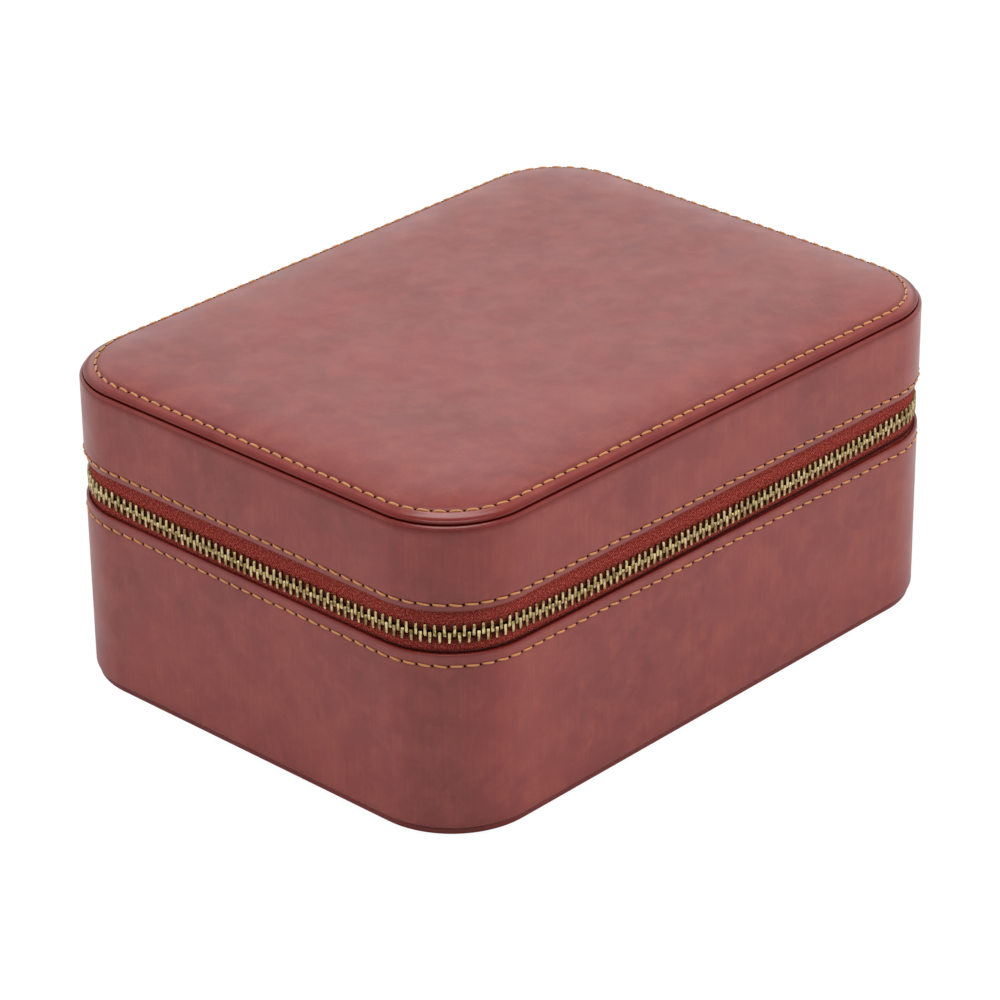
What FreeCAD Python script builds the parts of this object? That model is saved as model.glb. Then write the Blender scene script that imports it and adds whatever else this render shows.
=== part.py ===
import FreeCAD, Part
import math
import os
import Sketcher

# Watch travel case: a zip-round leather box with a padded lid that folds back
# on a leather spine. Millimetres. The origin is the centre of the underside,
# +X runs along the long side, -Y is the front and +Y the spine side.

doc = FreeCAD.newDocument("watch_travel_case")
sheet = doc.addObject("Spreadsheet::Sheet", "Sizes")

sizes = [
    # the case outside
    ("case_length", 200.0),
    ("case_depth", 150.0),
    ("corner_radius", 25.0),
    ("base_height", 51.9),
    ("lid_wall_height", 23.8),
    # materials in the wall, from the outside in
    ("leather", 1.2),
    ("tape", 0.7),
    ("board", 2.5),
    ("lining", 0.8),
    ("glue_gap", 0.05),
    ("lip_round", 0.55),
    # the base's underside panel and floor
    ("sole", 2.0),
    ("sole_inset", 0.8),
    ("sole_round", 0.6),
    ("floor_board", 2.0),
    # the padded panel on the lid
    ("panel_inset", 1.0),
    ("panel_leather", 1.0),
    ("panel_turn_in", 0.6),
    ("panel_turn_in_width", 12.0),
    ("panel_edge", 2.5),
    ("panel_edge_round", 0.6),
    ("panel_edge_fall", 0.3),
    ("panel_seam_inset", 3.7),
    ("panel_board", 0.5),
    ("crown_rise", 2.0),
    ("crown_reach", 18.0),
    ("panel_fit", 0.05),
    # the soft pad inside the lid
    ("pad_thickness", 11.0),
    ("pad_inset", 9.0),
    ("pad_swell", 2.0),
    # the hems where the zip tape is sewn in
    ("base_hem", 5.2),
    ("lid_hem", 5.3),
    ("hem_fit", 0.3),
    ("board_setback", 0.4),
    # the zip
    ("base_reveal_fit", 0.4),
    ("lid_reveal_fit", 1.3),
    ("tape_gap", 1.8),
    ("tooth_pitch", 2.37),
    ("tooth_width", 1.0),
    ("tooth_depth", 2.2),
    ("tooth_reach", 0.65),
    ("tooth_jaw", 2.65),
    ("tape_fit", 0.08),
    ("stop_width", 2.2),
    ("stop_fit", 0.6),
    # the leather spine on the back
    ("spine_half", 62.0),
    ("spine_fit", 0.5),
    ("spine_lining", 0.4),
    # the sliders
    ("slider_gap", 0.6),
    ("slider_length", 10.5),
    ("slider_plate", 1.0),
    ("slider_fit", 0.15),
    ("slider_flange", 0.8),
    ("channel_fit", 0.15),
    ("slider_nose_run", 4.0),
    ("slider_taper_run", 4.6),
    ("wedge_fit", 0.25),
    ("wedge_run", 2.2),
    ("wedge_point", 2.4),
    ("row_spread", 1.6),
    ("spread_hold", 3.2),
    ("spread_run", 5.0),
    # the pulls and the bails that hold them
    ("bail_start", 2.6),
    ("bail_foot", 0.9),
    ("bail_span", 5.6),
    ("bail_width", 2.0),
    ("bail_rise", 1.5),
    ("bail_thickness", 0.9),
    ("pull_thickness", 1.0),
    ("pull_bar", 1.0),
    ("pull_bar_fit", 0.35),
    ("pull_eye_length", 2.4),
    ("pull_eye_width", 3.0),
    ("pull_length", 26.0),
    ("pull_width", 5.4),
    ("pull_waist", 3.6),
    ("pull_waist_start", 5.0),
    ("pull_waist_run", 11.0),
    ("pull_hole", 1.1),
    ("pull_lift", 0.25),
    # the tray inside the base
    ("divider", 3.0),
    ("divider_drop", 8.1),
    ("divider_fit", 0.2),
    ("seat_gap", 0.3),
    ("cushion_side_gap", 5.8),
    ("cushion_end_gap", 3.95),
    ("cushion_drop", 4.15),
    ("cushion_corner", 14.0),
    ("cushion_crown", 5.0),
    ("cushion_waist", 1.6),
    # how far a cutting shape runs past what it cuts
    ("overrun", 1.0),
]
aliases = [name for name, number in sizes]
for row, (name, number) in enumerate(sizes, start=1):
    sheet.set("A%d" % row, name)
    sheet.set("B%d" % row, str(number))
    sheet.setAlias("B%d" % row, name)
doc.recompute()


places = doc.addObject("App::VarSet", "Places")
derived = []


def size(name):
    # the number that the sheet or the derived places hold under this name
    return getattr(places, name) if name in derived else float(sheet.get(name))


def bind(piece, target, formula):
    # ties one size of a piece to the sheet, with the sheet's names written plainly
    words = formula.replace("(", "( ").replace(")", " )").split()
    owners = ["Sizes." if word in aliases else "Places." if word in derived else "" for word in words]
    piece.setExpression(target, " ".join(owner + word for owner, word in zip(owners, words)))


def derive(name, formula):
    # a place or size that follows from the sheet
    places.addProperty("App::PropertyFloat", name)
    bind(places, name, formula)
    derived.append(name)


# insets, measured inwards from the outer surface of the wall
derive("tape_inset", "leather + glue_gap")
derive("tape_middle", "tape_inset + tape / 2")
derive("neck_inset", "tape_inset + tape + glue_gap")
derive("board_inner", "tape_inset + board")
derive("lining_inset", "board_inner + glue_gap")
derive("cavity_inset", "lining_inset + lining")

# half widths of the slider's channel and of the wedge in its nose
derive("nose_half", "tooth_jaw + row_spread + channel_fit")
derive("tail_half", "tooth_jaw + channel_fit")
derive("wedge_half", "row_spread - tooth_reach - wedge_fit")

# levels, measured up from the table: the zip lies between the base's lip and
# the lid's foot, with room for the sliders
derive("zip_level", "base_height + base_reveal_fit + nose_half + slider_flange")
derive("lid_foot", "zip_level + slider_flange + nose_half + lid_reveal_fit")
derive("lid_top", "lid_foot + lid_wall_height")
derive("panel_foot", "lid_top + glue_gap")
derive("edge_top", "panel_foot + panel_edge")
derive("floor_top", "sole + 3 * glue_gap + floor_board + lining")
derive("base_step", "base_height - base_hem")
derive("lid_step", "lid_foot + lid_hem")
derive("base_neck_top", "base_height - board_setback")
derive("lid_neck_foot", "lid_foot + board_setback")
derive("base_lining_top", "base_neck_top - lip_round")
derive("ceiling_foot", "lid_top - lining")
derive("pad_top", "ceiling_foot - glue_gap")

# the zip stops short of the back's middle, and lets out where the sliders meet
derive("back_edge", "case_depth / 2")
derive("zip_start", "spine_half + spine_fit")
derive("meet_half", "slider_gap / 2 + spread_hold + spread_run + tooth_width")

# the tray's compartments and the cushions that fill them
derive("inner_length", "case_length - 2 * cavity_inset")
derive("inner_depth", "case_depth - 2 * cavity_inset")
derive("column_step", "( inner_length + divider ) / 3")
derive("row_step", "( inner_depth + divider ) / 2")
derive("divider_height", "base_lining_top - divider_drop - floor_top")
derive("cushion_length", "column_step - divider - 2 * cushion_side_gap")
derive("cushion_depth", "row_step - divider - 2 * cushion_end_gap")
derive("cushion_foot", "floor_top + seat_gap")
derive("cushion_top", "base_height - cushion_drop")
derive("cushion_height", "cushion_top - cushion_foot")
doc.recompute()

lines = Sketcher.Constraint


def rounded_outline(sketch, inset, length="case_length", depth="case_depth", corner="corner_radius"):
    # a rounded rectangle about the middle, set in from a larger one whose
    # corner centres it shares: four lines, four arcs, one radius
    span = size("case_length") / 3
    reach = size("case_depth") / 3
    bend = size("corner_radius") / 2
    quarter = math.pi / 2
    first = sketch.GeometryCount
    spots = [(span, reach), (-span, reach), (-span, -reach), (span, -reach)]
    for turn, (x, y) in enumerate(spots):
        ring = Part.Circle(FreeCAD.Vector(x, y, 0), FreeCAD.Vector(0, 0, 1), bend)
        sketch.addGeometry(Part.ArcOfCircle(ring, turn * quarter, (turn + 1) * quarter))
    sides = [
        ((span, reach + bend), (-span, reach + bend)),
        ((-span - bend, reach), (-span - bend, -reach)),
        ((-span, -reach - bend), (span, -reach - bend)),
        ((span + bend, -reach), (span + bend, reach)),
    ]
    for start, end in sides:
        sketch.addGeometry(Part.LineSegment(FreeCAD.Vector(*start, 0), FreeCAD.Vector(*end, 0)))
    for turn in range(4):
        arc = first + turn
        line = first + 4 + turn
        following = first + (turn + 1) % 4
        sketch.addConstraint(lines("Tangent", arc, 2, line, 1))
        sketch.addConstraint(lines("Tangent", line, 2, following, 1))
        sketch.addConstraint(lines("Vertical" if turn % 2 else "Horizontal", line))
        if turn:
            sketch.addConstraint(lines("Equal", first, arc))
    sketch.addConstraint(lines("Symmetric", first, 3, first + 2, 3, -1, 1))
    label = "outline%d" % first
    ties = [
        ("DistanceX", "x", span, "%s / 2 - %s" % (length, corner)),
        ("DistanceY", "y", reach, "%s / 2 - %s" % (depth, corner)),
    ]
    for kind, ending, guess, formula in ties:
        number = sketch.addConstraint(lines(kind, -1, 1, first, 3, guess))
        sketch.renameConstraint(number, label + ending)
        bind(sketch, "Constraints." + label + ending, formula)
    number = sketch.addConstraint(lines("Radius", first, bend))
    sketch.renameConstraint(number, label + "r")
    bind(sketch, "Constraints." + label + "r", "%s - ( %s )" % (corner, inset))


def level_sketch(owner, name, level):
    # a sketch that lies level at a height of its own
    if owner is None:
        sketch = doc.addObject("Sketcher::SketchObject", name)
        bind(sketch, "Placement.Base.z", level)
        return sketch
    sketch = owner.newObject("Sketcher::SketchObject", name)
    flat = [plane for plane in owner.Origin.OriginFeatures if plane.Role == "XY_Plane"][0]
    sketch.AttachmentSupport = [(flat, "")]
    sketch.MapMode = "FlatFace"
    bind(sketch, "AttachmentOffset.Base.z", level)
    return sketch


def layer(body, name, foot, top, outer, inner=None):
    # one storey of a wall, or of a plate where no inner outline is given
    sketch = level_sketch(body, name + "_outline", foot)
    rounded_outline(sketch, outer)
    if inner:
        rounded_outline(sketch, inner)
    pad = body.newObject("PartDesign::Pad", name)
    pad.Profile = sketch
    bind(pad, "Length", "( %s ) - ( %s )" % (top, foot))
    return pad


def round_rims(body, pad, radius, levels):
    # rounds every edge that lies flat at one of the named levels of a layer
    doc.recompute()
    box = pad.Shape.BoundBox
    heights = {"foot": box.ZMin, "top": box.ZMax}
    near = size("glue_gap") / 2
    chosen = []
    for number, edge in enumerate(pad.Shape.Edges, start=1):
        for level in levels:
            if all(abs(v.Z - heights[level]) < near for v in edge.Vertexes):
                chosen.append("Edge%d" % number)
    rounding = body.newObject("PartDesign::Fillet", pad.Name + "_rims")
    rounding.Base = (pad, chosen)
    bind(rounding, "Radius", radius)
    return rounding


def new_body(name):
    body = doc.addObject("PartDesign::Body", name)
    body.Label = name
    return body


def wall(name, foot, top, outer, inner):
    body = new_body(name)
    layer(body, name + "_band", foot, top, outer, inner)
    return body


def plate(name, foot, top, inset):
    body = new_body(name)
    layer(body, name + "_slab", foot, top, inset)
    return body


def stepped_wall(name, storeys):
    # a wall board with a shallower neck where the zip tape lies on it
    body = new_body(name)
    for number, (foot, top, outer) in enumerate(storeys):
        layer(body, "%s_storey%d" % (name, number), foot, top, outer, "board_inner")
    return body


def box(name, corner, extents):
    # a plain block tied to the sheet by its lowest corner and its extents
    block = doc.addObject("Part::Box", name)
    for axis, formula in zip("xyz", corner):
        bind(block, "Placement.Base." + axis, formula)
    for side, formula in zip(("Length", "Width", "Height"), extents):
        bind(block, side, formula)
    return block


def cut(name, base, tools):
    # takes one or more shapes out of a base
    tool = tools[0]
    if len(tools) > 1:
        tool = doc.addObject("Part::MultiFuse", name + "_tools")
        tool.Shapes = tools
    result = doc.addObject("Part::Cut", name)
    result.Base = base
    result.Tool = tool
    return result


def loft(name, sections, outline_of=None):
    # straight-sided stages between level rounded rectangles, closed at both ends
    profiles = []
    for number, (inset, level) in enumerate(sections):
        sketch = level_sketch(None, "%s_section%d" % (name, number), level)
        rounded_outline(sketch, inset, *(outline_of or ()))
        profiles.append(sketch)
    body = doc.addObject("Part::Loft", name)
    body.Sections = profiles
    body.Solid = True
    body.Ruled = True
    return body


# The base: underside panel, leather wall, boards and linings
sole_body = new_body("base_panel_leather")
sole_pad = layer(sole_body, "sole_slab", "0", "sole", "sole_inset")
round_rims(sole_body, sole_pad, "sole_round", ("foot", "top"))

base_leather = new_body("base_wall_leather")
base_skin = layer(base_leather, "base_skin", "sole + glue_gap", "base_height", "0", "leather")
round_rims(base_leather, base_skin, "lip_round", ("foot", "top"))

stepped_wall("base_wall_board", [
    ("sole + glue_gap", "base_step", "tape_inset"),
    ("base_step", "base_neck_top", "neck_inset"),
])
plate("base_floor_board", "sole + glue_gap", "sole + glue_gap + floor_board", "lining_inset")
plate("base_floor_lining", "floor_top - glue_gap - lining", "floor_top - glue_gap", "lining_inset")
wall("base_wall_lining", "floor_top", "base_lining_top", "lining_inset", "cavity_inset")

# The lid: leather wall, board, linings and the padded panel on top
lid_leather = new_body("lid_wall_leather")
lid_skin = layer(lid_leather, "lid_skin", "lid_foot", "lid_top", "0", "leather")
round_rims(lid_leather, lid_skin, "lip_round", ("foot", "top"))

stepped_wall("lid_wall_board", [
    ("lid_neck_foot", "lid_step", "neck_inset"),
    ("lid_step", "lid_top", "tape_inset"),
])
plate("lid_ceiling_lining", "ceiling_foot", "lid_top", "lining_inset")
wall("lid_wall_lining", "lid_neck_foot + lip_round", "pad_top", "lining_inset", "cavity_inset")

# The padded panel: leather drawn over foam and a stiff card, turned in below.
# Its rolled edge slopes up to the seam, where it swells to a low crown.
# Both slopes are given as shares of their width and of their rise.
edge_shares = [(0.12, 0.25), (0.45, 0.6)]
crown_shares = [(0.22, 0.45), (0.5, 0.8)]
edge_slope = (
    "panel_inset + %s * ( panel_seam_inset - panel_inset )",
    "panel_foot + panel_edge_round + %s * ( panel_edge - panel_edge_round )")
crown_slope = (
    "panel_seam_inset + %s * ( crown_reach - panel_seam_inset )",
    "edge_top + %s * crown_rise")
skin_sections = [
    ("panel_inset + panel_edge_round", "panel_foot"),
    ("panel_inset", "panel_foot + panel_edge_round"),
]
skin_sections += [(edge_slope[0] % wide, edge_slope[1] % high) for wide, high in edge_shares]
skin_sections.append(("panel_seam_inset", "edge_top"))
skin_sections += [(crown_slope[0] % wide, crown_slope[1] % high) for wide, high in crown_shares]
skin_sections.append(("crown_reach", "edge_top + crown_rise"))
panel_outside = loft("panel_outside", skin_sections)
hollow_inset = "panel_inset + 2 * panel_leather"
hollow_sections = [
    (hollow_inset, "panel_foot + panel_turn_in"),
    (hollow_inset, "edge_top - panel_leather - panel_edge_fall"),
] + [(inset, level + " - panel_leather") for inset, level in skin_sections[4:]]
panel_hollow = loft("panel_hollow", hollow_sections)
turn_in_hole = plate(
    "panel_turn_in_hole", "panel_foot - overrun",
    "panel_foot + panel_turn_in + panel_board / 2", "panel_turn_in_width")
cut("lid_panel_leather", panel_outside, [panel_hollow, turn_in_hole])

card_foot = "panel_foot + panel_turn_in + panel_fit"
plate("lid_panel_board", card_foot, card_foot + " + panel_board", hollow_inset + " + panel_fit")
foam_sections = [
    ("panel_seam_inset + 3 * panel_leather", card_foot + " + panel_board + panel_fit"),
    (skin_sections[6][0] + " + panel_leather", skin_sections[6][1] + " - panel_leather - panel_fit"),
    ("crown_reach + panel_leather", "edge_top + crown_rise - panel_leather - panel_fit"),
]
loft("lid_panel_foam", foam_sections)

# The soft pad under the lid's ceiling
# each stage: how many swells in from the side, and its share of the thickness
pad_stages = [(1, 0), (0, 0.3), (0, 0.6), (1, 0.85), (3, 0.97), (5, 1)]
loft("lid_pad", [
    ("pad_inset + %s * pad_swell" % swells, "pad_top - %s * pad_thickness" % share)
    for swells, share in pad_stages])


# The zip tapes, open along the back where the spine is, and let out by the
# width that the rows part where the two sliders meet
def zip_tape(name, foot, top, notch_foot):
    band = wall(name + "_band", foot, top, "tape_inset", "tape_inset + tape")
    gap = box(
        name + "_back_gap",
        ("-1 * zip_start", "back_edge - corner_radius", foot + " - overrun"),
        ("2 * zip_start", "corner_radius + overrun", "( %s ) - ( %s ) + 2 * overrun" % (top, foot)))
    relief = box(
        name + "_relief",
        ("case_length / 2 - corner_radius", "-1 * meet_half", notch_foot),
        ("corner_radius", "2 * meet_half", "row_spread + overrun"))
    cut(name, band, [gap, relief])


zip_tape(
    "zip_tape_lower", "base_step + hem_fit", "zip_level - tape_gap / 2",
    "zip_level - tape_gap / 2 - row_spread")
zip_tape(
    "zip_tape_upper", "zip_level + tape_gap / 2", "lid_step - hem_fit",
    "zip_level + tape_gap / 2 - overrun")

# The leather spine outside and its lining inside, both along the back
box(
    "hinge_spine",
    ("-1 * spine_half", "back_edge - tape_inset - tape", "base_step + hem_fit"),
    ("2 * spine_half", "tape", "lid_step - base_step - 2 * hem_fit"))
box(
    "hinge_lining",
    ("-1 * spine_half", "back_edge - cavity_inset - glue_gap - spine_lining", "base_step"),
    ("2 * spine_half", "spine_lining", "lid_step - base_step"))

# The tray: one long divider and two cross dividers, halved into each other,
# and a cushion in each of the six compartments
long_board = box(
    "long_divider_blank",
    ("divider_fit - inner_length / 2", "0 - divider / 2", "floor_top"),
    ("inner_length - 2 * divider_fit", "divider", "divider_height"))
slots = []
for side, sign in (("left", "-1"), ("right", "1")):
    slots.append(box(
        "long_divider_slot_" + side,
        ("%s * column_step / 2 - divider / 2 - divider_fit" % sign,
         "0 - divider", "floor_top + divider_height / 2"),
        ("divider + 2 * divider_fit", "2 * divider", "divider_height")))
    blank = box(
        "cross_divider_%s_blank" % side,
        ("%s * column_step / 2 - divider / 2" % sign, "divider_fit - inner_depth / 2", "floor_top"),
        ("divider", "inner_depth - 2 * divider_fit", "divider_height"))
    notch = box(
        "cross_divider_%s_notch" % side,
        ("%s * column_step / 2 - divider" % sign,
         "0 - divider / 2 - divider_fit", "floor_top - overrun"),
        ("2 * divider", "divider + 2 * divider_fit", "divider_height / 2 + divider_fit + overrun"))
    cut("cross_divider_" + side, blank, [notch])
cut("long_divider", long_board, slots)

cushion_frame = ("cushion_length", "cushion_depth", "cushion_corner")
# each stage of a cushion's shoulder: its inset, and how far it is below the top
shoulder_stages = [(0, 1.6), (0.3, 0.8), (1, 0.25), (2.2, 0)]
cushion_sections = [
    ("cushion_crown", "cushion_foot"),
    ("0", "cushion_foot + cushion_crown"),
    ("cushion_waist", "cushion_foot + cushion_height / 2"),
] + [
    ("%s * cushion_crown" % inward, "cushion_top - %s * cushion_crown" % down)
    for inward, down in shoulder_stages]
first_cushion = loft("watch_cushion_1", cushion_sections, cushion_frame)
cushions = [first_cushion]
for number in range(2, 7):
    cushion = doc.addObject("Part::Loft", "watch_cushion_%d" % number)
    cushion.Sections = first_cushion.Sections
    cushion.Solid = True
    cushion.Ruled = True
    cushions.append(cushion)
for number, cushion in enumerate(cushions):
    column = number % 3 - 1
    line = number // 3
    bind(cushion, "Placement.Base.x", "%d * column_step" % column)
    bind(cushion, "Placement.Base.y", "%s * row_step" % (line - 0.5))

# The zip's metal teeth, set out along the middle of the tape
path_radius = size("corner_radius") - size("tape_middle")
straight_x = size("case_length") / 2 - size("corner_radius")
straight_y = size("case_depth") / 2 - size("corner_radius")
back_y = size("case_depth") / 2 - size("tape_middle")
side_x = size("case_length") / 2 - size("tape_middle")
quarter_arc = path_radius * math.pi / 2

# the zip runs from the back round the right end, the front and the left end:
# each stretch is its length, where it starts, its heading and its corner centre
back_run = straight_x - size("zip_start")
stretches = [
    (back_run, (size("zip_start"), back_y), 0, None),
    (quarter_arc, None, 0, (straight_x, straight_y)),
    (2 * straight_y, (side_x, straight_y), -90, None),
    (quarter_arc, None, -90, (straight_x, -straight_y)),
    (2 * straight_x, (straight_x, -back_y), -180, None),
    (quarter_arc, None, -180, (-straight_x, -straight_y)),
    (2 * straight_y, (-side_x, -straight_y), -270, None),
    (quarter_arc, None, -270, (-straight_x, straight_y)),
    (back_run, (-straight_x, back_y), -360, None),
]
zip_length = sum(stretch[0] for stretch in stretches)


def zip_place(along):
    # the point on the zip's line at this distance, and its heading in degrees
    for length, start, heading, centre in stretches:
        if along <= length or start == stretches[-1][1]:
            break
        along -= length
    if centre is None:
        turn = math.radians(heading)
        return start[0] + along * math.cos(turn), start[1] + along * math.sin(turn), heading
    heading -= math.degrees(along / path_radius)
    turn = math.radians(heading + 90)
    return centre[0] + path_radius * math.cos(turn), centre[1] + path_radius * math.sin(turn), heading


def row_parting(x, y):
    # how far a row stands off the middle line near the meeting sliders
    if x < straight_x or abs(y) > straight_y:
        return 0
    share = (abs(y) - size("slider_gap") / 2 - size("spread_hold")) / size("spread_run")
    share = min(max(share, 0), 1)
    return size("row_spread") * (1 - share * share * (3 - 2 * share))


def clamp_profile(side, reach, width):
    # a metal jaw that grips the tape's edge from both faces: side is 1 for the
    # upper row and -1 for the lower, reach is how far it passes the middle line
    half = size("tooth_depth") / 2
    slot = size("tape") / 2 + size("tape_fit")
    throat = size("tape_gap") / 2 - size("glue_gap")
    points = [
        (-half, -reach), (half, -reach), (half, size("tooth_jaw")), (slot, size("tooth_jaw")),
        (slot, throat), (-slot, throat), (-slot, size("tooth_jaw")), (-half, size("tooth_jaw")),
    ]
    corners = [FreeCAD.Vector(-width / 2, out, side * up) for out, up in points]
    face = Part.Face(Part.makePolygon(corners + corners[:1]))
    return face.extrude(FreeCAD.Vector(width, 0, 0))


def zip_row(name, side, start_share):
    # one row of teeth, each turned to the zip's heading
    tooth = clamp_profile(side, size("tooth_reach"), size("tooth_width"))
    margin = size("stop_fit") + size("stop_width") + size("tooth_pitch")
    count = int((zip_length - 2 * margin) / size("tooth_pitch"))
    lead = (zip_length - count * size("tooth_pitch")) / 2
    teeth = []
    for number in range(count):
        x, y, heading = zip_place(lead + (number + start_share) * size("tooth_pitch"))
        level = size("zip_level") + side * row_parting(x, y)
        tooth_place = FreeCAD.Placement(
            FreeCAD.Vector(x, y, level), FreeCAD.Rotation(FreeCAD.Vector(0, 0, 1), heading))
        copy = tooth.copy()
        copy.Placement = tooth_place
        teeth.append(copy)
    row = doc.addObject("Part::Feature", name)
    row.Shape = Part.makeCompound(teeth)
    return row


def end_stops(name, side):
    # a broader clamp at each end of a row, just short of the middle line
    stop = clamp_profile(side, 0 - size("tape_fit"), size("stop_width"))
    stops = []
    inset = size("stop_fit") + size("stop_width") / 2
    for along in (inset, zip_length - inset):
        x, y, heading = zip_place(along)
        copy = stop.copy()
        copy.Placement = FreeCAD.Placement(
            FreeCAD.Vector(x, y, size("zip_level")), FreeCAD.Rotation(FreeCAD.Vector(0, 0, 1), heading))
        stops.append(copy)
    pair = doc.addObject("Part::Feature", name)
    pair.Shape = Part.makeCompound(stops)
    return pair


# the two rows stand half a pitch apart, each a quarter from the run's ends
zip_row("zip_teeth_lower", side=-1, start_share=0.25)
zip_row("zip_teeth_upper", side=1, start_share=0.75)
end_stops("zip_end_stops_lower", side=-1)
end_stops("zip_end_stops_upper", side=1)


# The sliders meet nose to nose in the middle of the right end. Each is two
# plates joined by a wedge at the nose, with flanges that hold the rows in.
def slab(points, inner, outer):
    # a plate whose outline is given as (distance behind the meeting line,
    # height off the zip's middle), between two distances out from the tape
    corners = [FreeCAD.Vector(side_x + inner, -along, size("zip_level") + up) for along, up in points]
    face = Part.Face(Part.makePolygon(corners + corners[:1]))
    return face.extrude(FreeCAD.Vector(outer - inner, 0, 0))


nose = size("slider_gap") / 2
tail = nose + size("slider_length")
shoulder = nose + size("slider_nose_run")
hip = shoulder + size("slider_taper_run")
nose_half = size("nose_half")
tail_half = size("tail_half")
flange = size("slider_flange")
channel = [(nose, nose_half), (shoulder, nose_half), (hip, tail_half), (tail, tail_half)]
rim = [(along, up + flange) for along, up in channel]
plate_outline = rim + [(along, -up) for along, up in reversed(rim)]
face_out = size("tooth_depth") / 2 + size("slider_fit")
plate_out = face_out + size("slider_plate")
flange_face = size("tape") / 2 + size("slider_fit")
wedge = [
    (nose, size("wedge_half")), (nose + size("wedge_run"), size("wedge_half")),
    (nose + size("wedge_run") + size("wedge_point"), 0),
    (nose + size("wedge_run"), -size("wedge_half")), (nose, -size("wedge_half")),
]
pieces = [slab(plate_outline, face_out, plate_out), slab(plate_outline, -plate_out, -face_out)]
pieces.append(slab(wedge, -face_out, face_out))
for mirror in (1, -1):
    strip = [(along, mirror * up) for along, up in channel]
    strip += [(along, mirror * up) for along, up in reversed(rim)]
    pieces.append(slab(strip, flange_face, face_out))
    pieces.append(slab(strip, -face_out, -flange_face))

# the bail is a low bridge along the outer plate
bail_foot = nose + size("bail_start")
bail_end = bail_foot + size("bail_span")
bridge_out = plate_out + size("bail_rise")
half = size("bail_width") / 2
for start, end, inner, outer in (
        (bail_foot, bail_foot + size("bail_foot"), plate_out, bridge_out),
        (bail_end - size("bail_foot"), bail_end, plate_out, bridge_out),
        (bail_foot, bail_end, bridge_out, bridge_out + size("bail_thickness"))):
    pieces.append(slab([(start, half), (end, half), (end, -half), (start, -half)], inner, outer))
slider_front = doc.addObject("Part::Feature", "zip_slider_front")
slider_front.Shape = pieces[0].multiFuse(pieces[1:]).removeSplitter()

# The pull tab: a flat blade with an eye round the bail and a cross bar under it
bar_y = bail_end - size("bail_foot") - size("pull_bar_fit") - size("pull_bar") / 2
pull_inner = plate_out + size("pull_lift")
pull_outer = pull_inner + size("pull_thickness")
blade_start = bar_y - size("pull_bar") / 2
blade_end = blade_start + size("pull_length")
width_half = size("pull_width") / 2
blade = slab([
    (blade_start, width_half), (blade_end - width_half, width_half),
    (blade_end - width_half, -width_half), (blade_start, -width_half),
], pull_inner, pull_outer)
tip_centre = FreeCAD.Vector(side_x + pull_inner, width_half - blade_end, size("zip_level"))
outwards = FreeCAD.Vector(1, 0, 0)
tip = Part.makeCylinder(width_half, size("pull_thickness"), tip_centre, outwards)
eye_half = size("pull_eye_width") / 2
eye_start = blade_start + size("pull_bar")
eye_end = eye_start + size("pull_eye_length")
eye = slab([
    (eye_start, eye_half), (eye_end, eye_half), (eye_end, -eye_half), (eye_start, -eye_half),
], pull_inner - size("overrun"), pull_outer + size("overrun"))
hole = Part.makeCylinder(
    size("pull_hole"), size("pull_thickness") + 2 * size("overrun"),
    tip_centre - outwards * size("overrun"), outwards)
tab = blade.fuse(tip).removeSplitter().cut(eye).cut(hole)
waist_start = blade_start + size("pull_waist_start")
waist_end = waist_start + size("pull_waist_run")
waist_half = size("pull_waist") / 2
slope = width_half - waist_half
for mirror in (1, -1):
    tab = tab.cut(slab([
        (waist_start - slope, mirror * (width_half + size("overrun"))),
        (waist_start - slope, mirror * width_half),
        (waist_start, mirror * waist_half), (waist_end, mirror * waist_half),
        (waist_end + 2 * slope, mirror * width_half),
        (waist_end + 2 * slope, mirror * (width_half + size("overrun"))),
    ], pull_inner - size("overrun"), pull_outer + size("overrun")))
pull_front = doc.addObject("Part::Feature", "zip_pull_front")
pull_front.Shape = tab

# the rear slider and pull are the front ones seen in a mirror
for source, name in ((slider_front, "zip_slider_rear"), (pull_front, "zip_pull_rear")):
    twin = doc.addObject("Part::Mirroring", name)
    twin.Source = source
    twin.Base = FreeCAD.Vector(0, 0, 0)
    twin.Normal = FreeCAD.Vector(0, 1, 0)

nodes = [
    "base_panel_leather", "base_wall_leather", "base_wall_board", "base_floor_board",
    "base_floor_lining", "base_wall_lining", "lid_wall_leather", "lid_wall_board",
    "lid_wall_lining", "lid_ceiling_lining", "lid_panel_leather", "lid_panel_board",
    "lid_panel_foam", "lid_pad", "zip_tape_lower", "zip_tape_upper", "zip_teeth_lower",
    "zip_teeth_upper", "zip_end_stops_lower", "zip_end_stops_upper", "hinge_spine",
    "hinge_lining", "long_divider", "cross_divider_left", "cross_divider_right",
    "zip_slider_front", "zip_slider_rear", "zip_pull_front", "zip_pull_rear",
] + ["watch_cushion_%d" % number for number in range(1, 7)]

doc.recompute()
faults = [
    piece.Name for piece in doc.Objects
    if "Invalid" in piece.State or "Error" in piece.State]
for name in nodes:
    piece = doc.getObject(name)
    if piece.Shape.isNull() or not piece.Shape.isValid() or not piece.Shape.Solids:
        faults.append(name)
if faults:
    raise RuntimeError("pieces that did not build: " + ", ".join(faults))

os.makedirs("parts", exist_ok=True)
for name in nodes:
    piece = doc.getObject(name)
    piece.Label = name
    piece.Shape.exportStep("parts/%s.step" % name)
    room = piece.Shape.BoundBox
    print("%-22s %4d solids %10.1f mm3  x %.2f..%.2f  y %.2f..%.2f  z %.2f..%.2f" % (
        name, len(piece.Shape.Solids), piece.Shape.Volume,
        room.XMin, room.XMax, room.YMin, room.YMax, room.ZMin, room.ZMax))
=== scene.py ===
import math

import bmesh
import bpy
import numpy as np
from mathutils import Matrix, Vector
from mathutils.bvhtree import BVHTree


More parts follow.
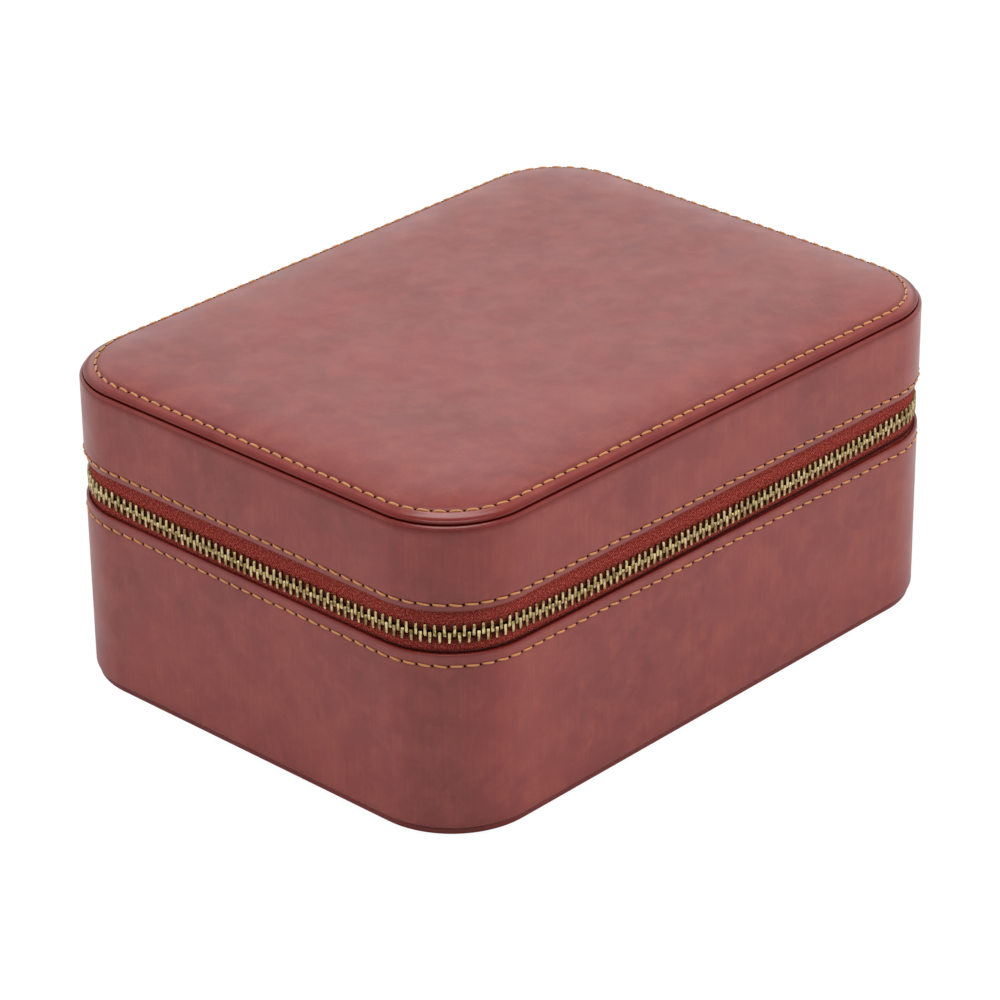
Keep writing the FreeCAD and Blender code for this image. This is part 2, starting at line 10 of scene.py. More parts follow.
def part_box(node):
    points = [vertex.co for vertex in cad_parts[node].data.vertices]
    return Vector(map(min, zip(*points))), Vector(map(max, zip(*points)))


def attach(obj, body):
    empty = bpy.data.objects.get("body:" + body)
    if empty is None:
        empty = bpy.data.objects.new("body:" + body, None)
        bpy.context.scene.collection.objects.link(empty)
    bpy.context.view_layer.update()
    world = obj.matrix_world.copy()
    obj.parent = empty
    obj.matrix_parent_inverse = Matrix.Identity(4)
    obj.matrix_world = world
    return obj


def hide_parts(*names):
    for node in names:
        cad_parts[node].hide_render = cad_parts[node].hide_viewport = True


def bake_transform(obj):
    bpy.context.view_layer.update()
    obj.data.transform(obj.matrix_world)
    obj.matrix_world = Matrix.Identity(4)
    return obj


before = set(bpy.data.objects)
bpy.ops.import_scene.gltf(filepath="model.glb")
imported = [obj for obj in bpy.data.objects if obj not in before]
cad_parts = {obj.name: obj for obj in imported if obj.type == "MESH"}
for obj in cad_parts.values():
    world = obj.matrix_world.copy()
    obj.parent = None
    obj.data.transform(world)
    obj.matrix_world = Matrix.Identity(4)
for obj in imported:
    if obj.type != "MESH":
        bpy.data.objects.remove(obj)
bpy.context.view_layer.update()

mm = 0.001
rng = np.random.default_rng(58)

# Watch travel case: red-brown leather over board, a brass zip all round, a
# padded panel on the lid. Lengths in the dictionaries are millimetres.


# Reading the frame

def span(node):
    # lowest and highest corner of a CAD node, in millimetres
    low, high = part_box(node)
    return np.array(low) / mm, np.array(high) / mm


wallLow, wallHigh = span("base_wall_leather")
lidLow, lidHigh = span("lid_wall_leather")
panelLow, panelHigh = span("lid_panel_leather")
spineHigh = span("hinge_spine")[1]

caseShape = {
    "halfLength": wallHigh[0],
    "halfDepth": wallHigh[1],
    "cornerRadius": 25.0,     # outside corners, seen from above
    "leather": 1.2,           # wall leather
    "face": 0.6,              # a wall is its outer face up to this inset
    "straightSteps": 60,      # samples along each side of a band
    "cornerSteps": 26,        # samples round each corner
}
zipLevel = (span("zip_tape_lower")[1][2] + span("zip_tape_upper")[0][2]) / 2
print("stage: frame read, case", caseShape["halfLength"] * 2, "by", caseShape["halfDepth"] * 2)


# Shapes worked out on grids

def bump(distance, width):
    # a bell that dies away over this width: exp(-(distance / width)^2)
    return np.exp(-(distance / width) ** 2)


def eased(share):
    # smoothstep from 0 to 1: share^2 * (3 - 2 share)
    share = np.clip(share, 0, 1)
    return share ** 2 * (3 - 2 * share)


def unit(ways):
    # the same ways, each of length one
    return ways / np.linalg.norm(ways, axis=-1, keepdims=True)


def raised(places, level):
    # places seen from above, lifted to one level or to a level each
    return np.concatenate([places, np.broadcast_to(level, len(places))[:, None]], 1)


def rightOf(ways):
    # ways seen from above, turned a quarter to the right
    return np.stack([ways[:, 1], -ways[:, 0]], 1)


def stopsOf(points):
    # how far along a line each of its points is
    return np.concatenate([[0], np.cumsum(np.linalg.norm(np.diff(points, axis=0), axis=1))])


def placesAt(points, stops, spots):
    # places at these distances along a line
    return np.stack([np.interp(spots, stops, points[:, i]) for i in (0, 1)], 1)


def oblong(count, power=1.0, start=0.0):
    # a circle of places (cos a, sin a), squared off by a power below 1
    angle = np.linspace(0, 2 * math.pi, count, endpoint=False) + start
    ring = np.stack([np.cos(angle), np.sin(angle)], 1)
    return np.sign(ring) * np.abs(ring) ** power


def casePath(inset=0.0, radius=None):
    # The case's plan drawn in by inset, as points and outward normals,
    # anticlockwise from the start of the +X side. Each side is a straight run,
    # each corner the arc centre + radius * (cos a, sin a). Samples fall alike
    # on every such path, so two paths can be joined ring to ring.
    if radius is None:
        radius = caseShape["cornerRadius"] - inset
    halves = (caseShape["halfLength"] - inset, caseShape["halfDepth"] - inset)
    straight, turn = caseShape["straightSteps"], caseShape["cornerSteps"]
    points, normals = [], []
    for quarter in range(4):
        angle = quarter * math.pi / 2
        away = np.array([math.cos(angle), math.sin(angle)])
        along = np.array([-math.sin(angle), math.cos(angle)])
        reach, side = halves[quarter % 2], halves[1 - quarter % 2]
        run = np.linspace(radius - side, side - radius, straight, endpoint=False)
        points.append(away * reach + run[:, None] * along)
        normals.append(np.tile(away, (straight, 1)))
        bend = angle + np.linspace(0, math.pi / 2, turn, endpoint=False)
        rays = np.stack([np.cos(bend), np.sin(bend)], 1)
        centre = away * (reach - radius) + along * (side - radius)
        points.append(centre + radius * rays)
        normals.append(rays)
    return np.concatenate(points), np.concatenate(normals)


def softLoop(corners, steps=6):
    # A closed outline with rounded corners: each corner is (x, y, round), and
    # its round is the curve (1-t)^2 A + 2t(1-t) C + t^2 B between points A and
    # B that lie that far along its two sides.
    spots = np.array([corner[:2] for corner in corners], float)
    t = np.linspace(0, 1, steps)[:, None]
    outline = []
    for number, (corner, (_, _, reach)) in enumerate(zip(spots, corners)):
        a, b = (corner + unit(spots[other] - corner) * reach
                for other in (number - 1, (number + 1) % len(spots)))
        outline.append((1 - t) ** 2 * a + 2 * t * (1 - t) * corner + t ** 2 * b)
    return np.concatenate(outline)


def densify(outline, longest, levels=(), reach=1.9, finest=0.35):
    # puts points on the long sides of a closed outline, none further apart, and
    # the finest of them on the outer face near the levels of its seams
    result = []
    for start, end in zip(outline, np.roll(outline, -1, 0)):
        inset, height = (start + end) / 2
        near = inset < caseShape["face"] and any(abs(height - level) < reach for level in levels)
        pieces = max(1, int(np.ceil(np.linalg.norm(end - start) / (finest if near else longest))))
        result.append(start + (end - start) * np.linspace(0, 1, pieces, endpoint=False)[:, None])
    return np.concatenate(result)


def ripple(points, size, seed):
    # a gentle unevenness between -1 and 1: the mean of seven sine waves in
    # fixed directions, each about this many millimetres long
    waves = np.random.default_rng(seed)
    total = np.zeros(points.shape[:-1])
    for _ in range(7):
        way = waves.normal(size=3)
        way *= 2 * math.pi / (size * waves.uniform(0.7, 1.5) * np.linalg.norm(way))
        total += np.sin(points @ way + waves.uniform(0, 2 * math.pi))
    return total / 7


def pieceName(node):
    # a piece is named for its node, such as lidPad for lid_pad
    first, *rest = node.split("_")
    return first + "".join(word.title() for word in rest)


def newPiece(name, verts, faces, smooth=True):
    # a closed piece from points in millimetres, its faces turned outwards
    mesh = bpy.data.meshes.new(name)
    mesh.from_pydata((verts.reshape(-1, 3) * mm).tolist(), [], faces)
    mesh.polygons.foreach_set("use_smooth", np.full(len(faces), smooth))
    work = bmesh.new()
    work.from_mesh(mesh)
    bmesh.ops.recalc_face_normals(work, faces=work.faces)
    work.to_mesh(mesh)
    work.free()
    piece = bpy.data.objects.new(name, mesh)
    bpy.context.scene.collection.objects.link(piece)
    return piece


def addMap(piece, places):
    # the map "Surface", from a place for each point; points past them get (0, 0)
    mesh = piece.data
    whole = np.zeros((len(mesh.vertices), 2), np.float32)
    whole[:places.size // 2] = places.reshape(-1, 2)
    corners = np.empty(len(mesh.loops), np.int32)
    mesh.loops.foreach_get("vertex_index", corners)
    mesh.uv_layers.new(name="Surface").data.foreach_set("uv", whole[corners].ravel())


def addValues(piece, label, field):
    # an attribute, from a value for each point; points past them get 0
    whole = np.zeros(len(piece.data.vertices), np.float32)
    whole[:field.size] = field.ravel()
    piece.data.attributes.new(label, "FLOAT", "POINT").data.foreach_set("value", whole)


def gridMesh(name, grid, capped=False, **values):
    # Points on a (rings, steps) grid become quads, each ring joined round. The
    # last ring is joined to the first or, when capped, each ends in a fan.
    index = np.arange(grid.shape[0] * grid.shape[1]).reshape(grid.shape[:2])
    here, after = (index[:-1], index[1:]) if capped else (index, np.roll(index, -1, 0))
    quads = np.stack([here, np.roll(here, -1, 1), np.roll(after, -1, 1), after], -1)
    faces = quads.reshape(-1, 4).tolist()
    verts = grid.reshape(-1, 3)
    for ring in (index[0], index[-1]) if capped else ():
        faces += [[a, b, len(verts)] for a, b in zip(ring.tolist(), np.roll(ring, -1).tolist())]
        verts = np.vstack([verts, verts[ring].mean(0)])
    piece = newPiece(name, verts, faces)
    for label, field in values.items():
        addValues(piece, label, field)
    return piece


def copies(name, verts, smooth=True):
    # many alike tubes in one mesh, from points on a (copies, rings, steps)
    # grid, each closed by a face at both ends
    count, rings, steps = verts.shape[:3]
    index = np.arange(rings * steps).reshape(rings, steps)
    turned = np.roll(index, -1, 1)
    quads = np.stack([index[:-1], index[1:], turned[1:], turned[:-1]], -1).reshape(1, -1, 4)
    ends = np.stack([index[0], index[-1][::-1]])[None]
    starts = (np.arange(count) * rings * steps)[:, None, None]
    faces = (quads + starts).reshape(-1, 4).tolist() + (ends + starts).reshape(-1, steps).tolist()
    return newPiece(name, verts, faces, smooth)


def dress(piece, material, body, node=None):
    # gives a piece its material, the body it rides on and the node it stands for
    piece.data.materials.clear()
    piece.data.materials.append(material)
    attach(piece, body)
    if node:
        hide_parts(node)
    return piece


faceWave = {
    "long": 34.0,             # length of the wide waves in a wall's face
    "short": 9.0,             # and of those laid over them
    "shortShare": 0.4,
    "most": 0.04,             # no point stands further out than this
}


def swell(spots, wave, seams):
    # How far a wall's face stands out from its plain shape: a gentle wave, less
    # depth * exp(-((z - level) / width)^2) for each stitched seam.
    look = faceWave
    wide, fine = ripple(spots, look["long"], 3), ripple(spots, look["short"], 4)
    out = wave * (wide + look["shortShare"] * fine)
    for level, depth, width in seams:
        out = out - depth * bump(spots[..., 2] - level, width)
    return np.minimum(out, look["most"])


lipSway = {
    "leftEnd": 1.0,           # the base's lip stands this much higher there
    "corner": 0.5,            # and this much at the near left corner
    "frontEnd": -0.6,
    "reach": 12.0,            # how far down from the lip it dies away
}


def sway(spots):
    # Hand-made unevenness of the base's lip: its height follows straight lines
    # from leftEnd to corner along the left side and on to frontEnd along the
    # front, and is level on the right half and at the back.
    look = lipSway
    right = np.clip(0.5 + spots[..., 0] / caseShape["halfLength"] / 2, 0, 1)
    back = np.clip(0.5 + spots[..., 1] / caseShape["halfDepth"] / 2, 0, 1)
    front = look["corner"] + (look["frontEnd"] - look["corner"]) * np.minimum(right * 1.5, 1)
    front = front * np.clip((1 - right) * 12, 0, 1)
    left = look["corner"] + (look["leftEnd"] - look["corner"]) * back
    side = np.where(back < 0.5, 1, np.clip((0.35 - right) / 0.2, 0, 1))
    share = np.clip(right / 0.2, 0, 1)
    return (left * (1 - share) + front * share * np.clip(1 - back * 4, 0, 1)) * side


def caseBand(name, outline, seams=(), creases=(), wave=0.0, rims=(), swayFrom=None):
    # A closed outline of (inset, height) points carried round the case. seams
    # are (height, depth, width) of stitched grooves in the outer face, creases
    # (height, width) of folds darkened with painted shade, rims those of the
    # burnished edges; wave is the leather's unevenness. Above swayFrom the band
    # follows the lip's sway.
    points, normals = casePath()
    inset = outline[:, 0][:, None]
    height = np.repeat(outline[:, 1][:, None], len(points), 1)
    grid = np.concatenate([np.repeat(points[None], len(outline), 0), height[..., None]], 2)
    face = caseShape["face"]
    shift = inset - swell(grid, wave, seams) * np.clip(1 - inset / face, 0, 1)
    grid[..., :2] -= shift[..., None] * normals[None]
    if swayFrom is not None:
        grid[..., 2] += sway(grid) * eased((height - swayFrom) / lipSway["reach"])
    hidden = np.clip((inset - face) / 0.25, 0, 1)
    # painted shade in the folds and in the stitched grooves; the rims are burnished
    crease, rim = np.zeros((2, *height.shape))
    for level, width in creases:
        crease = np.maximum(crease, hidden * bump(height - level, width))
    for level, _, width in seams:
        valley = wallParts["valley"] * bump(height - level, width * 0.6)
        crease = np.maximum(crease, np.where(inset < face, valley, 0))
    for level, width in rims:
        rim = np.maximum(rim, bump(height - level, width))
    return gridMesh(name, grid, crease=crease, rim=rim)


# Materials

def linear(hexColour):
    # an sRGB hex colour as the linear colour that a shader takes
    parts = [int(hexColour[i:i + 2], 16) / 255 for i in (1, 3, 5)]
    return [p / 12.92 if p <= 0.04045 else ((p + 0.055) / 1.055) ** 2.4 for p in parts] + [1.0]


def connect(tree, node, inputs):
    # fills inputs with a value, a hex colour, a socket, or another node, which
    # stands for the first of its outputs that is in use
    for key, value in inputs.items():
        if isinstance(value, str):
            value = linear(value)
        if isinstance(value, bpy.types.Node):
            value = next(socket for socket in value.outputs if socket.enabled)
        if isinstance(value, bpy.types.NodeSocket):
            tree.links.new(value, node.inputs[key])
        else:
            node.inputs[key].default_value = value


def addNode(tree, kind, inputs=None, **settings):
    # adds a node with its settings and what goes into it
    node = tree.nodes.new("ShaderNode" + kind)
    for key, value in settings.items():
        setattr(node, key, value)
    connect(tree, node, inputs or {})
    return node


def newMaterial(name):
    # an empty material with its surface shader
    material = bpy.data.materials.new(name)
    material.use_nodes = True
    tree = material.node_tree
    return material, tree, tree.nodes["Principled BSDF"]


def layered(tree, colour, layers):
    # lays colours over one another: (pattern, low, high, most, colour) covers
    # nothing where its pattern is low and the share most where it is high
    for pattern, low, high, most, layer in layers:
        share = addNode(tree, "MapRange", {
            "Value": pattern, "From Min": low, "From Max": high, "To Max": most})
        colour = addNode(tree, "Mix", {0: share, 6: colour, 7: layer}, data_type="RGBA")
    return colour


def inMillimetres(tree):
    # a piece's own coordinates, so that a pattern's scale is 1 / its size in mm
    where = addNode(tree, "TexCoord").outputs["Object"]
    return addNode(tree, "Mapping", {"Vector": where, "Scale": (1000, 1000, 1000)})


leatherLook = {
    "base": "#88352e",        # the dyed surface in even light
    "dark": "#742825",        # cloudy darker patches
    "light": "#a14b3b",       # rubbed, warmer patches
    "edge": "#66160e",        # burnished edges
    "red": "#480a06",         # painted shade in folds, grooves and stitched seams
    "cloud": 46.0,            # size of the large patches
    "blot": 7.0,              # size of the small ones
    "streak": 0.9,            # width of the faint wiped streaks
    "grain": 0.55,            # pores, drawn coarser than real so that they show
    "dent": 11.0,             # width of the soft dents
    "scratch": 24.0,          # size of the field that the hairlines follow
    "roughness": 0.31,
    "edgeRoughness": 0.2,
    "coat": 0.26,
}


def smoothLeather():
    # Corrected-grain leather, dyed and plated under a thin clear finish: a
    # cloudy red-brown with faint wiped streaks and a soft broad shine.
    material, tree, shader = newMaterial("platedRedBrownLeather")
    look = leatherLook
    inMm = inMillimetres(tree)
    tall = addNode(tree, "Mapping", {"Vector": inMm, "Scale": (1, 1, 0.05)})
    cloud, blot, streak, wander, dent = (
        addNode(tree, "TexNoise", {"Vector": space, "Scale": 1 / look[size], "Detail": detail,
                                   "Roughness": rough, "Distortion": bent})
        for space, size, detail, rough, bent in (
            (inMm, "cloud", 4.0, 0.6, 0.6), (inMm, "blot", 5.0, 0.65, 0.4),
            (tall, "streak", 3.0, 0.6, 0.0), (inMm, "scratch", 0.0, 0.5, 1.5),
            (inMm, "dent", 1.0, 0.5, 0.0)))
    # hairline scratches where a wandering field crosses its middle, broken up
    middle = addNode(tree, "Math", {0: wander, 1: 0.5}, operation="SUBTRACT")
    nearness = addNode(tree, "Math", {0: middle}, operation="ABSOLUTE")
    line = addNode(tree, "MapRange", {
        "Value": nearness, "From Max": 0.004, "To Min": 0.5, "To Max": 0.0})
    broken = addNode(tree, "MapRange", {"Value": blot, "From Min": 0.52, "From Max": 0.6})
    scratch = addNode(tree, "Math", {0: line, 1: broken}, operation="MULTIPLY")
    fold, rim = (addNode(tree, "Attribute", attribute_name=label).outputs["Fac"]
                 for label in ("crease", "rim"))
    # painted shade (red) darkens the folds, grooves and seams, over the leather's own patches and
    # burnished edges
    colour = layered(tree, look["dark"], (
        (cloud, 0.34, 0.66, 1.0, look["base"]), (blot, 0.42, 0.72, 0.55, look["light"]),
        (streak, 0.3, 0.7, 0.45, look["dark"]), (scratch, 0, 1, 1, look["light"]),
        (rim, 0, 1, 0.75, look["edge"]), (fold, 0, 1, 1, look["red"])))
    worn = addNode(tree, "MapRange", {
        "Value": dent, "From Min": 0.35, "From Max": 0.65,
        "To Min": look["roughness"] - 0.02, "To Max": look["roughness"] + 0.05})
    rough = addNode(tree, "MapRange", {
        "Value": rim, "To Min": worn, "To Max": look["edgeRoughness"]})
    grain = addNode(tree, "TexVoronoi", {"Vector": inMm, "Scale": 1 / look["grain"]})
    pores = addNode(tree, "Bump", {"Height": grain, "Strength": 0.05, "Distance": 0.0001})
    dents = addNode(tree, "Bump", {
        "Height": dent, "Strength": 0.28, "Distance": 0.0008, "Normal": pores})
    connect(tree, shader, {
        "Base Color": colour, "Roughness": rough, "Coat Roughness": rough, "Normal": dents})
    # the painted shade of folds and grooves keeps no shine, and burnished edges have no coat
    partly = addNode(tree, "Math", {0: rim, 1: 0.35}, operation="MULTIPLY")
    for socket, edge, most in (("Specular IOR Level", partly, 0.5),
                               ("Coat Weight", rim, look["coat"])):
        dull = addNode(tree, "Math", {0: fold, 1: edge}, operation="MAXIMUM")
        left = addNode(tree, "MapRange", {"Value": dull, "To Min": most, "To Max": 0.04 * most})
        connect(tree, shader, {socket: left})
    return material


def waxedThread():
    # Bonded polyester thread, twisted and waxed: golden tan with a silky glint.
    material, tree, shader = newMaterial("twistedGoldThread")
    turns = addNode(tree, "UVMap", uv_map="Surface")
    twist = addNode(tree, "TexWave", {"Vector": turns, "Scale": 1.0, "Distortion": 0.6},
                    wave_type="BANDS", bands_direction="DIAGONAL").outputs["Fac"]
    # the light and dark bands along the twist are painted highlight and shade on the plies
    colour = layered(tree, "#a2602a", [(twist, 0, 1, 1, "#e0a160")])
    ply = addNode(tree, "Bump", {"Height": twist, "Strength": 0.5, "Distance": 0.0001})
    connect(tree, shader, {
        "Base Color": colour, "Normal": ply, "Roughness": 0.5, "Sheen Weight": 0.2})
    return material


tapeLook = {
    "shade": "#5c1411",
    "yarn": "#a6362c",
    "fleck": "#c26457",
    "shadow": "#1a0302",      # painted shadow under the leather's lip and beside the teeth
    "rib": 0.62,              # a little coarser than real so that it shows
    "herringbone": 1.5,       # width of one leg of the herringbone
}


def wovenTape():
    # Polyester zip tape in a fine herringbone: deep red, matt, its ribs broken
    # into light and dark specks.
    material, tree, shader = newMaterial("wovenDeepRedTape")
    look = tapeLook
    cloth = addNode(tree, "UVMap", uv_map="Surface")
    axes = addNode(tree, "SeparateXYZ", {0: cloth})
    # ribs run along u + 0.8 * |v folded at each leg|
    u, v = axes.outputs[0], axes.outputs[1]
    folded = addNode(tree, "Math", {0: v, 1: look["herringbone"]}, operation="PINGPONG")
    slanted = addNode(tree, "Math", {0: folded, 1: 0.8, 2: u}, operation="MULTIPLY_ADD")
    across = addNode(tree, "Math", {0: slanted, 1: 1 / look["rib"]}, operation="MULTIPLY")
    along = addNode(tree, "CombineXYZ", {0: across, 1: v})
    ribs = addNode(tree, "TexWave", {
        "Vector": along, "Scale": 1 / 3.14, "Distortion": 0.6, "Detail": 1.0},
        wave_type="BANDS", bands_direction="X").outputs["Fac"]
    yarn = addNode(tree, "TexNoise", {"Vector": cloth, "Scale": 1 / 0.5, "Detail": 3.0})
    # painted shadow under the leather's lip and where the teeth shade the tape
    dim = addNode(tree, "Attribute", attribute_name="crease").outputs["Fac"]
    colour = layered(tree, look["shade"], (
        (ribs, 0, 1, 1, look["yarn"]), (yarn, 0.46, 0.7, 1, look["fleck"]),
        (dim, 0, 1, 1, look["shadow"])))
    relief = addNode(tree, "Math", {0: ribs, 1: yarn}, operation="ADD")
    weave = addNode(tree, "Bump", {"Height": relief, "Strength": 0.9, "Distance": 0.0003})
    connect(tree, shader, {
        "Base Color": colour, "Normal": weave, "Roughness": 0.9, "Specular IOR Level": 0.12})
    return material


def agedBrass(name, bright, shade, roughness, patch, gapShadeColour=None):
    # Cast or stamped brass, tumbled and left to darken: pale gold and a brown
    # film in patches this many millimetres wide. With gapShadeColour, painted shade darkens the
    # teeth's inner sides and the gaps between them.
    material, tree, shader = newMaterial(name)
    film = addNode(tree, "TexNoise", {
        "Vector": inMillimetres(tree), "Scale": 1 / patch, "Detail": 2.0})
    layers = [(film, 0.35, 0.65, 1, bright)]
    # painted shade on the inner sides of the teeth and in the gaps between them
    if gapShadeColour:
        gapShade = addNode(tree, "Attribute", attribute_name="crease").outputs["Fac"]
        layers.append((gapShade, 0, 1, 1, gapShadeColour))
    dull = addNode(tree, "MapRange", {
        "Value": film, "From Min": 0.3, "From Max": 0.7,
        "To Min": roughness + 0.08, "To Max": roughness})
    connect(tree, shader, {
        "Base Color": layered(tree, shade, layers), "Metallic": 1.0, "Roughness": dull})
    return material


def microSuede(name, base, shade):
    # Brushed microfibre suede: a short nap that catches light at the edges and
    # lies in faint lighter and darker strokes 14 mm wide.
    material, tree, shader = newMaterial(name)
    inMm = inMillimetres(tree)
    strokes = addNode(tree, "TexNoise", {
        "Vector": inMm, "Scale": 1 / 14, "Detail": 3.0, "Roughness": 0.55, "Distortion": 0.8})
    nap = addNode(tree, "TexNoise", {"Vector": inMm, "Scale": 1 / 0.5, "Detail": 3.0})
    colour = layered(tree, shade, [(strokes, 0.35, 0.65, 1, base), (nap, 0.3, 0.75, 0.5, base)])
    fuzz = addNode(tree, "Bump", {"Height": nap, "Strength": 0.4, "Distance": 0.0003})
    connect(tree, shader, {
        "Base Color": colour, "Normal": fuzz, "Roughness": 0.95, "Sheen Weight": 0.5,
        "Sheen Roughness": 0.5})
    return material


def pressedBoard(name, base, fleck, size):
    # Pressed fibre board or cut foam: matt, with fine flecks all through.
    material, tree, shader = newMaterial(name)
    fibres = addNode(tree, "TexNoise", {
        "Vector": inMillimetres(tree), "Scale": 1 / size, "Detail": 4.0})
    colour = layered(tree, base, [(fibres, 0, 1, 1, fleck)])
    tooth = addNode(tree, "Bump", {"Height": fibres, "Strength": 0.3, "Distance": 0.0002})
    connect(tree, shader, {"Base Color": colour, "Normal": tooth, "Roughness": 0.9})
    return material


def holeShadeMaterial():
    # Painted shade for a needle hole in the leather: nearly black red.
    material, tree, shader = newMaterial("paintedNeedleHoleShade")
    where = addNode(tree, "TexCoord").outputs["Object"]
    patch = addNode(tree, "TexNoise", {"Vector": where, "Scale": 900.0})
    colour = layered(tree, "#160503", [(patch, 0, 1, 1, "#280c08")])
    connect(tree, shader, {"Base Color": colour, "Roughness": 1.0, "Specular IOR Level": 0.08})
    return material


leather = smoothLeather()
thread = waxedThread()
holeShade = holeShadeMaterial()
tapeCloth = wovenTape()
# the last colour is the painted shade in the gaps between the teeth
toothBrass = agedBrass("agedStampedBrass", "#f7e0a8", "#8f7444", 0.24, 1.2, "#2a1d0a")
sliderBrass = agedBrass("tumbledCastBrass", "#e2cc9c", "#b89f6c", 0.26, 4.0)
liningSuede = microSuede("beigeMicrofibreSuede", "#c9b08c", "#b39a77")
cushionSuede = microSuede("creamMicrofibreSuede", "#d6c2a0", "#c0aa86")
greyBoard = pressedBoard("pressedGreyBoard", "#8c857b", "#6f695f", 1.2)
paddingFoam = pressedBoard("cutPaddingFoam", "#e4dec9", "#cfc7ad", 0.8)
print("stage: materials made")


# Leather walls

wallParts = {
    "seamBelowLip": 3.2,      # the row of stitches below the base's lip
    "seamAboveFoot": 2.3,     # the row above the lid wall's lower edge
    "seamDepth": 0.16,
    "seamWidth": 0.7,
    "valley": 0.45,           # how dark the painted shade in the stitched groove is
    "creaseWidth": 0.3,       # painted shade line where two leathers meet
    "rimWidth": 0.6,          # burnished edge
    "turnIn": 2.6,            # how far the lid wall turns in under the panel
    "hemTuck": 0.55,          # how far the lid's hem bends in under its seam
    "wave": 0.06,
    "step": 1.6,
}


def leatherWall(node, body, corners, seam, fold, rims, swayFrom=None):
    # a wall of leather, its outline finely stepped near its seam; gives back
    # the seam's groove for the stitches that follow it
    look = wallParts
    outline = densify(densify(softLoop(corners), look["step"]), look["step"], [seam])
    groove = [(seam, look["seamDepth"], look["seamWidth"])]
    wall = caseBand(pieceName(node), outline, groove, [(fold, look["creaseWidth"])],
                    look["wave"], rims, swayFrom)
    dress(wall, leather, body, node)
    return groove


lip = wallHigh[2]
foot = wallLow[2]
skin = caseShape["leather"]
baseSeam = lip - wallParts["seamBelowLip"]
baseGroove = leatherWall(
    "base_wall_leather", "base",
    [(0.3, foot, 0.3), (0, foot + 0.6, 0.35), (0, lip, 0.58), (skin, lip, 0.58), (skin, foot, 0.3)],
    baseSeam, foot, [(lip, wallParts["rimWidth"]), (foot, wallParts["rimWidth"])],
    lip - lipSway["reach"])

hem, rimTop, turnIn = lidLow[2], lidHigh[2], wallParts["turnIn"]
lidSeam = hem + wallParts["seamAboveFoot"]
lidGroove = leatherWall(
    "lid_wall_leather", "lid",
    [(wallParts["hemTuck"], hem, 0.4), (0.04, lidSeam, 1.0), (0, rimTop - 0.4, 0.55),
     (0.8, rimTop + 0.03, 0.3), (turnIn, rimTop + 0.03, 0.1), (turnIn, rimTop - 0.3, 0.1),
     (skin, rimTop - 0.4, 0.2), (skin + 0.1, hem, 0.3)],
    lidSeam, rimTop, [(rimTop - 0.9, 1.1), (hem, wallParts["rimWidth"])])
print("stage: walls made")


# Panels: the padded one on the lid and the flat one under the base

padPanel = {
    "edgeInset": 1.0,
    "edgeRound": 0.6,
    "seamInset": 3.7,         # stitches, in from the wall
    "seamRadius": 23.0,       # they turn wider than the corner
    "seamDip": 0.25,
    # the margin's section as (share of its width, share of its rise): a bead at
    # the edge, a shallow valley and a steeper slope up to the seam
    "margin": [(0, 0), (0.045, 0.17), (0.15, 0.26), (0.42, 0.36), (0.6, 0.53), (0.86, 0.94),
               (1, 1)],
    "soften": 0.055,
    "marginRings": 36,
    "shoulder": 7.5,          # how quickly the padding rises inside the seam
    "rise": 2.0,
    "wave": 0.10,
}


def paddedPanel():
    # Rings from the turned-in edge below, up the side, over the rim, down into
    # the seam and up the padding: its height inside the seam is
    # rise * (1 - exp(-(d / shoulder)^1.2)), d being the way in from the seam.
    look = padPanel
    outer, rays = casePath()
    seam = casePath(look["seamInset"], look["seamRadius"])[0]
    low, top = panelLow[2], panelHigh[2]
    edge = top - look["rise"]
    curve = look["edgeRound"]
    rim = look["edgeInset"] + curve
    # the first rings lie flat under the panel, where the lid hides them
    section = [(12.0, low), (4.0, low), (rim, low)]
    section += [(rim - curve * math.sin(a), low + curve * (1 - math.cos(a)))
                for a in np.linspace(0, math.pi / 2, 7)[1:]]
    rings = [raised(outer - rays * inset, level) for inset, level in section]
    # the margin follows its section, each height the mean of those close by
    start = outer - rays * look["edgeInset"]
    brim = low + curve
    along, upward = np.array(look["margin"]).T
    for share in np.linspace(0, 1, look["marginRings"] + 1)[1:]:
        near = share + np.linspace(-look["soften"], look["soften"], 9)
        level = brim + (edge - brim) * np.interp(near, along, upward).mean()
        dip = look["seamDip"] * bump((1 - share) * (look["seamInset"] - look["edgeInset"]), 0.7)
        rings.append(raised(start + (seam - start) * share, level - dip))
    reaches = np.concatenate([np.linspace(0, 3, 9)[1:], np.linspace(3, 20, 15)[1:]])
    wayIn = [(seam - rays * reach, reach) for reach in reaches]
    wayIn += [(wayIn[-1][0] * (1 - share), reaches[-1] + share * caseShape["halfDepth"])
              for share in np.linspace(0, 0.95, 20)[1:]]
    for places, reach in wayIn:
        rise = look["rise"] * (1 - math.exp(-(reach / look["shoulder"]) ** 1.2))
        rings.append(raised(places, edge + rise - look["seamDip"] * bump(reach, 0.8)))
    grid = np.stack(rings)
    # the padding waves over the last 0.9 mm of its rise
    inside = np.clip((grid[..., 2] - top + 0.9) * 1.2, 0, 1)
    wave = ripple(grid, 42, 11) + 0.35 * ripple(grid, 15, 12) - 0.4
    grid[..., 2] += look["wave"] * inside * wave
    grid[..., 2] = np.minimum(grid[..., 2], top + 0.05)
    # painted shade at the turned-in edge and in the seam, burnished on the margin's outer half
    share = ((np.arange(len(rings)) - len(section)) / look["marginRings"])[:, None]
    valley = wallParts["valley"] * bump(share - 0.975, 1 / 12)
    crease = np.maximum(bump(grid[..., 2] - low, 0.6), valley)
    burnished = np.clip((7 / 12 - share) * 3, 0, 1) * np.ones(len(outer))
    panel = gridMesh("lidPanelLeather", grid, True, crease=crease, rim=burnished)
    dress(panel, leather, "lid", "lid_panel_leather")


paddedPanel()


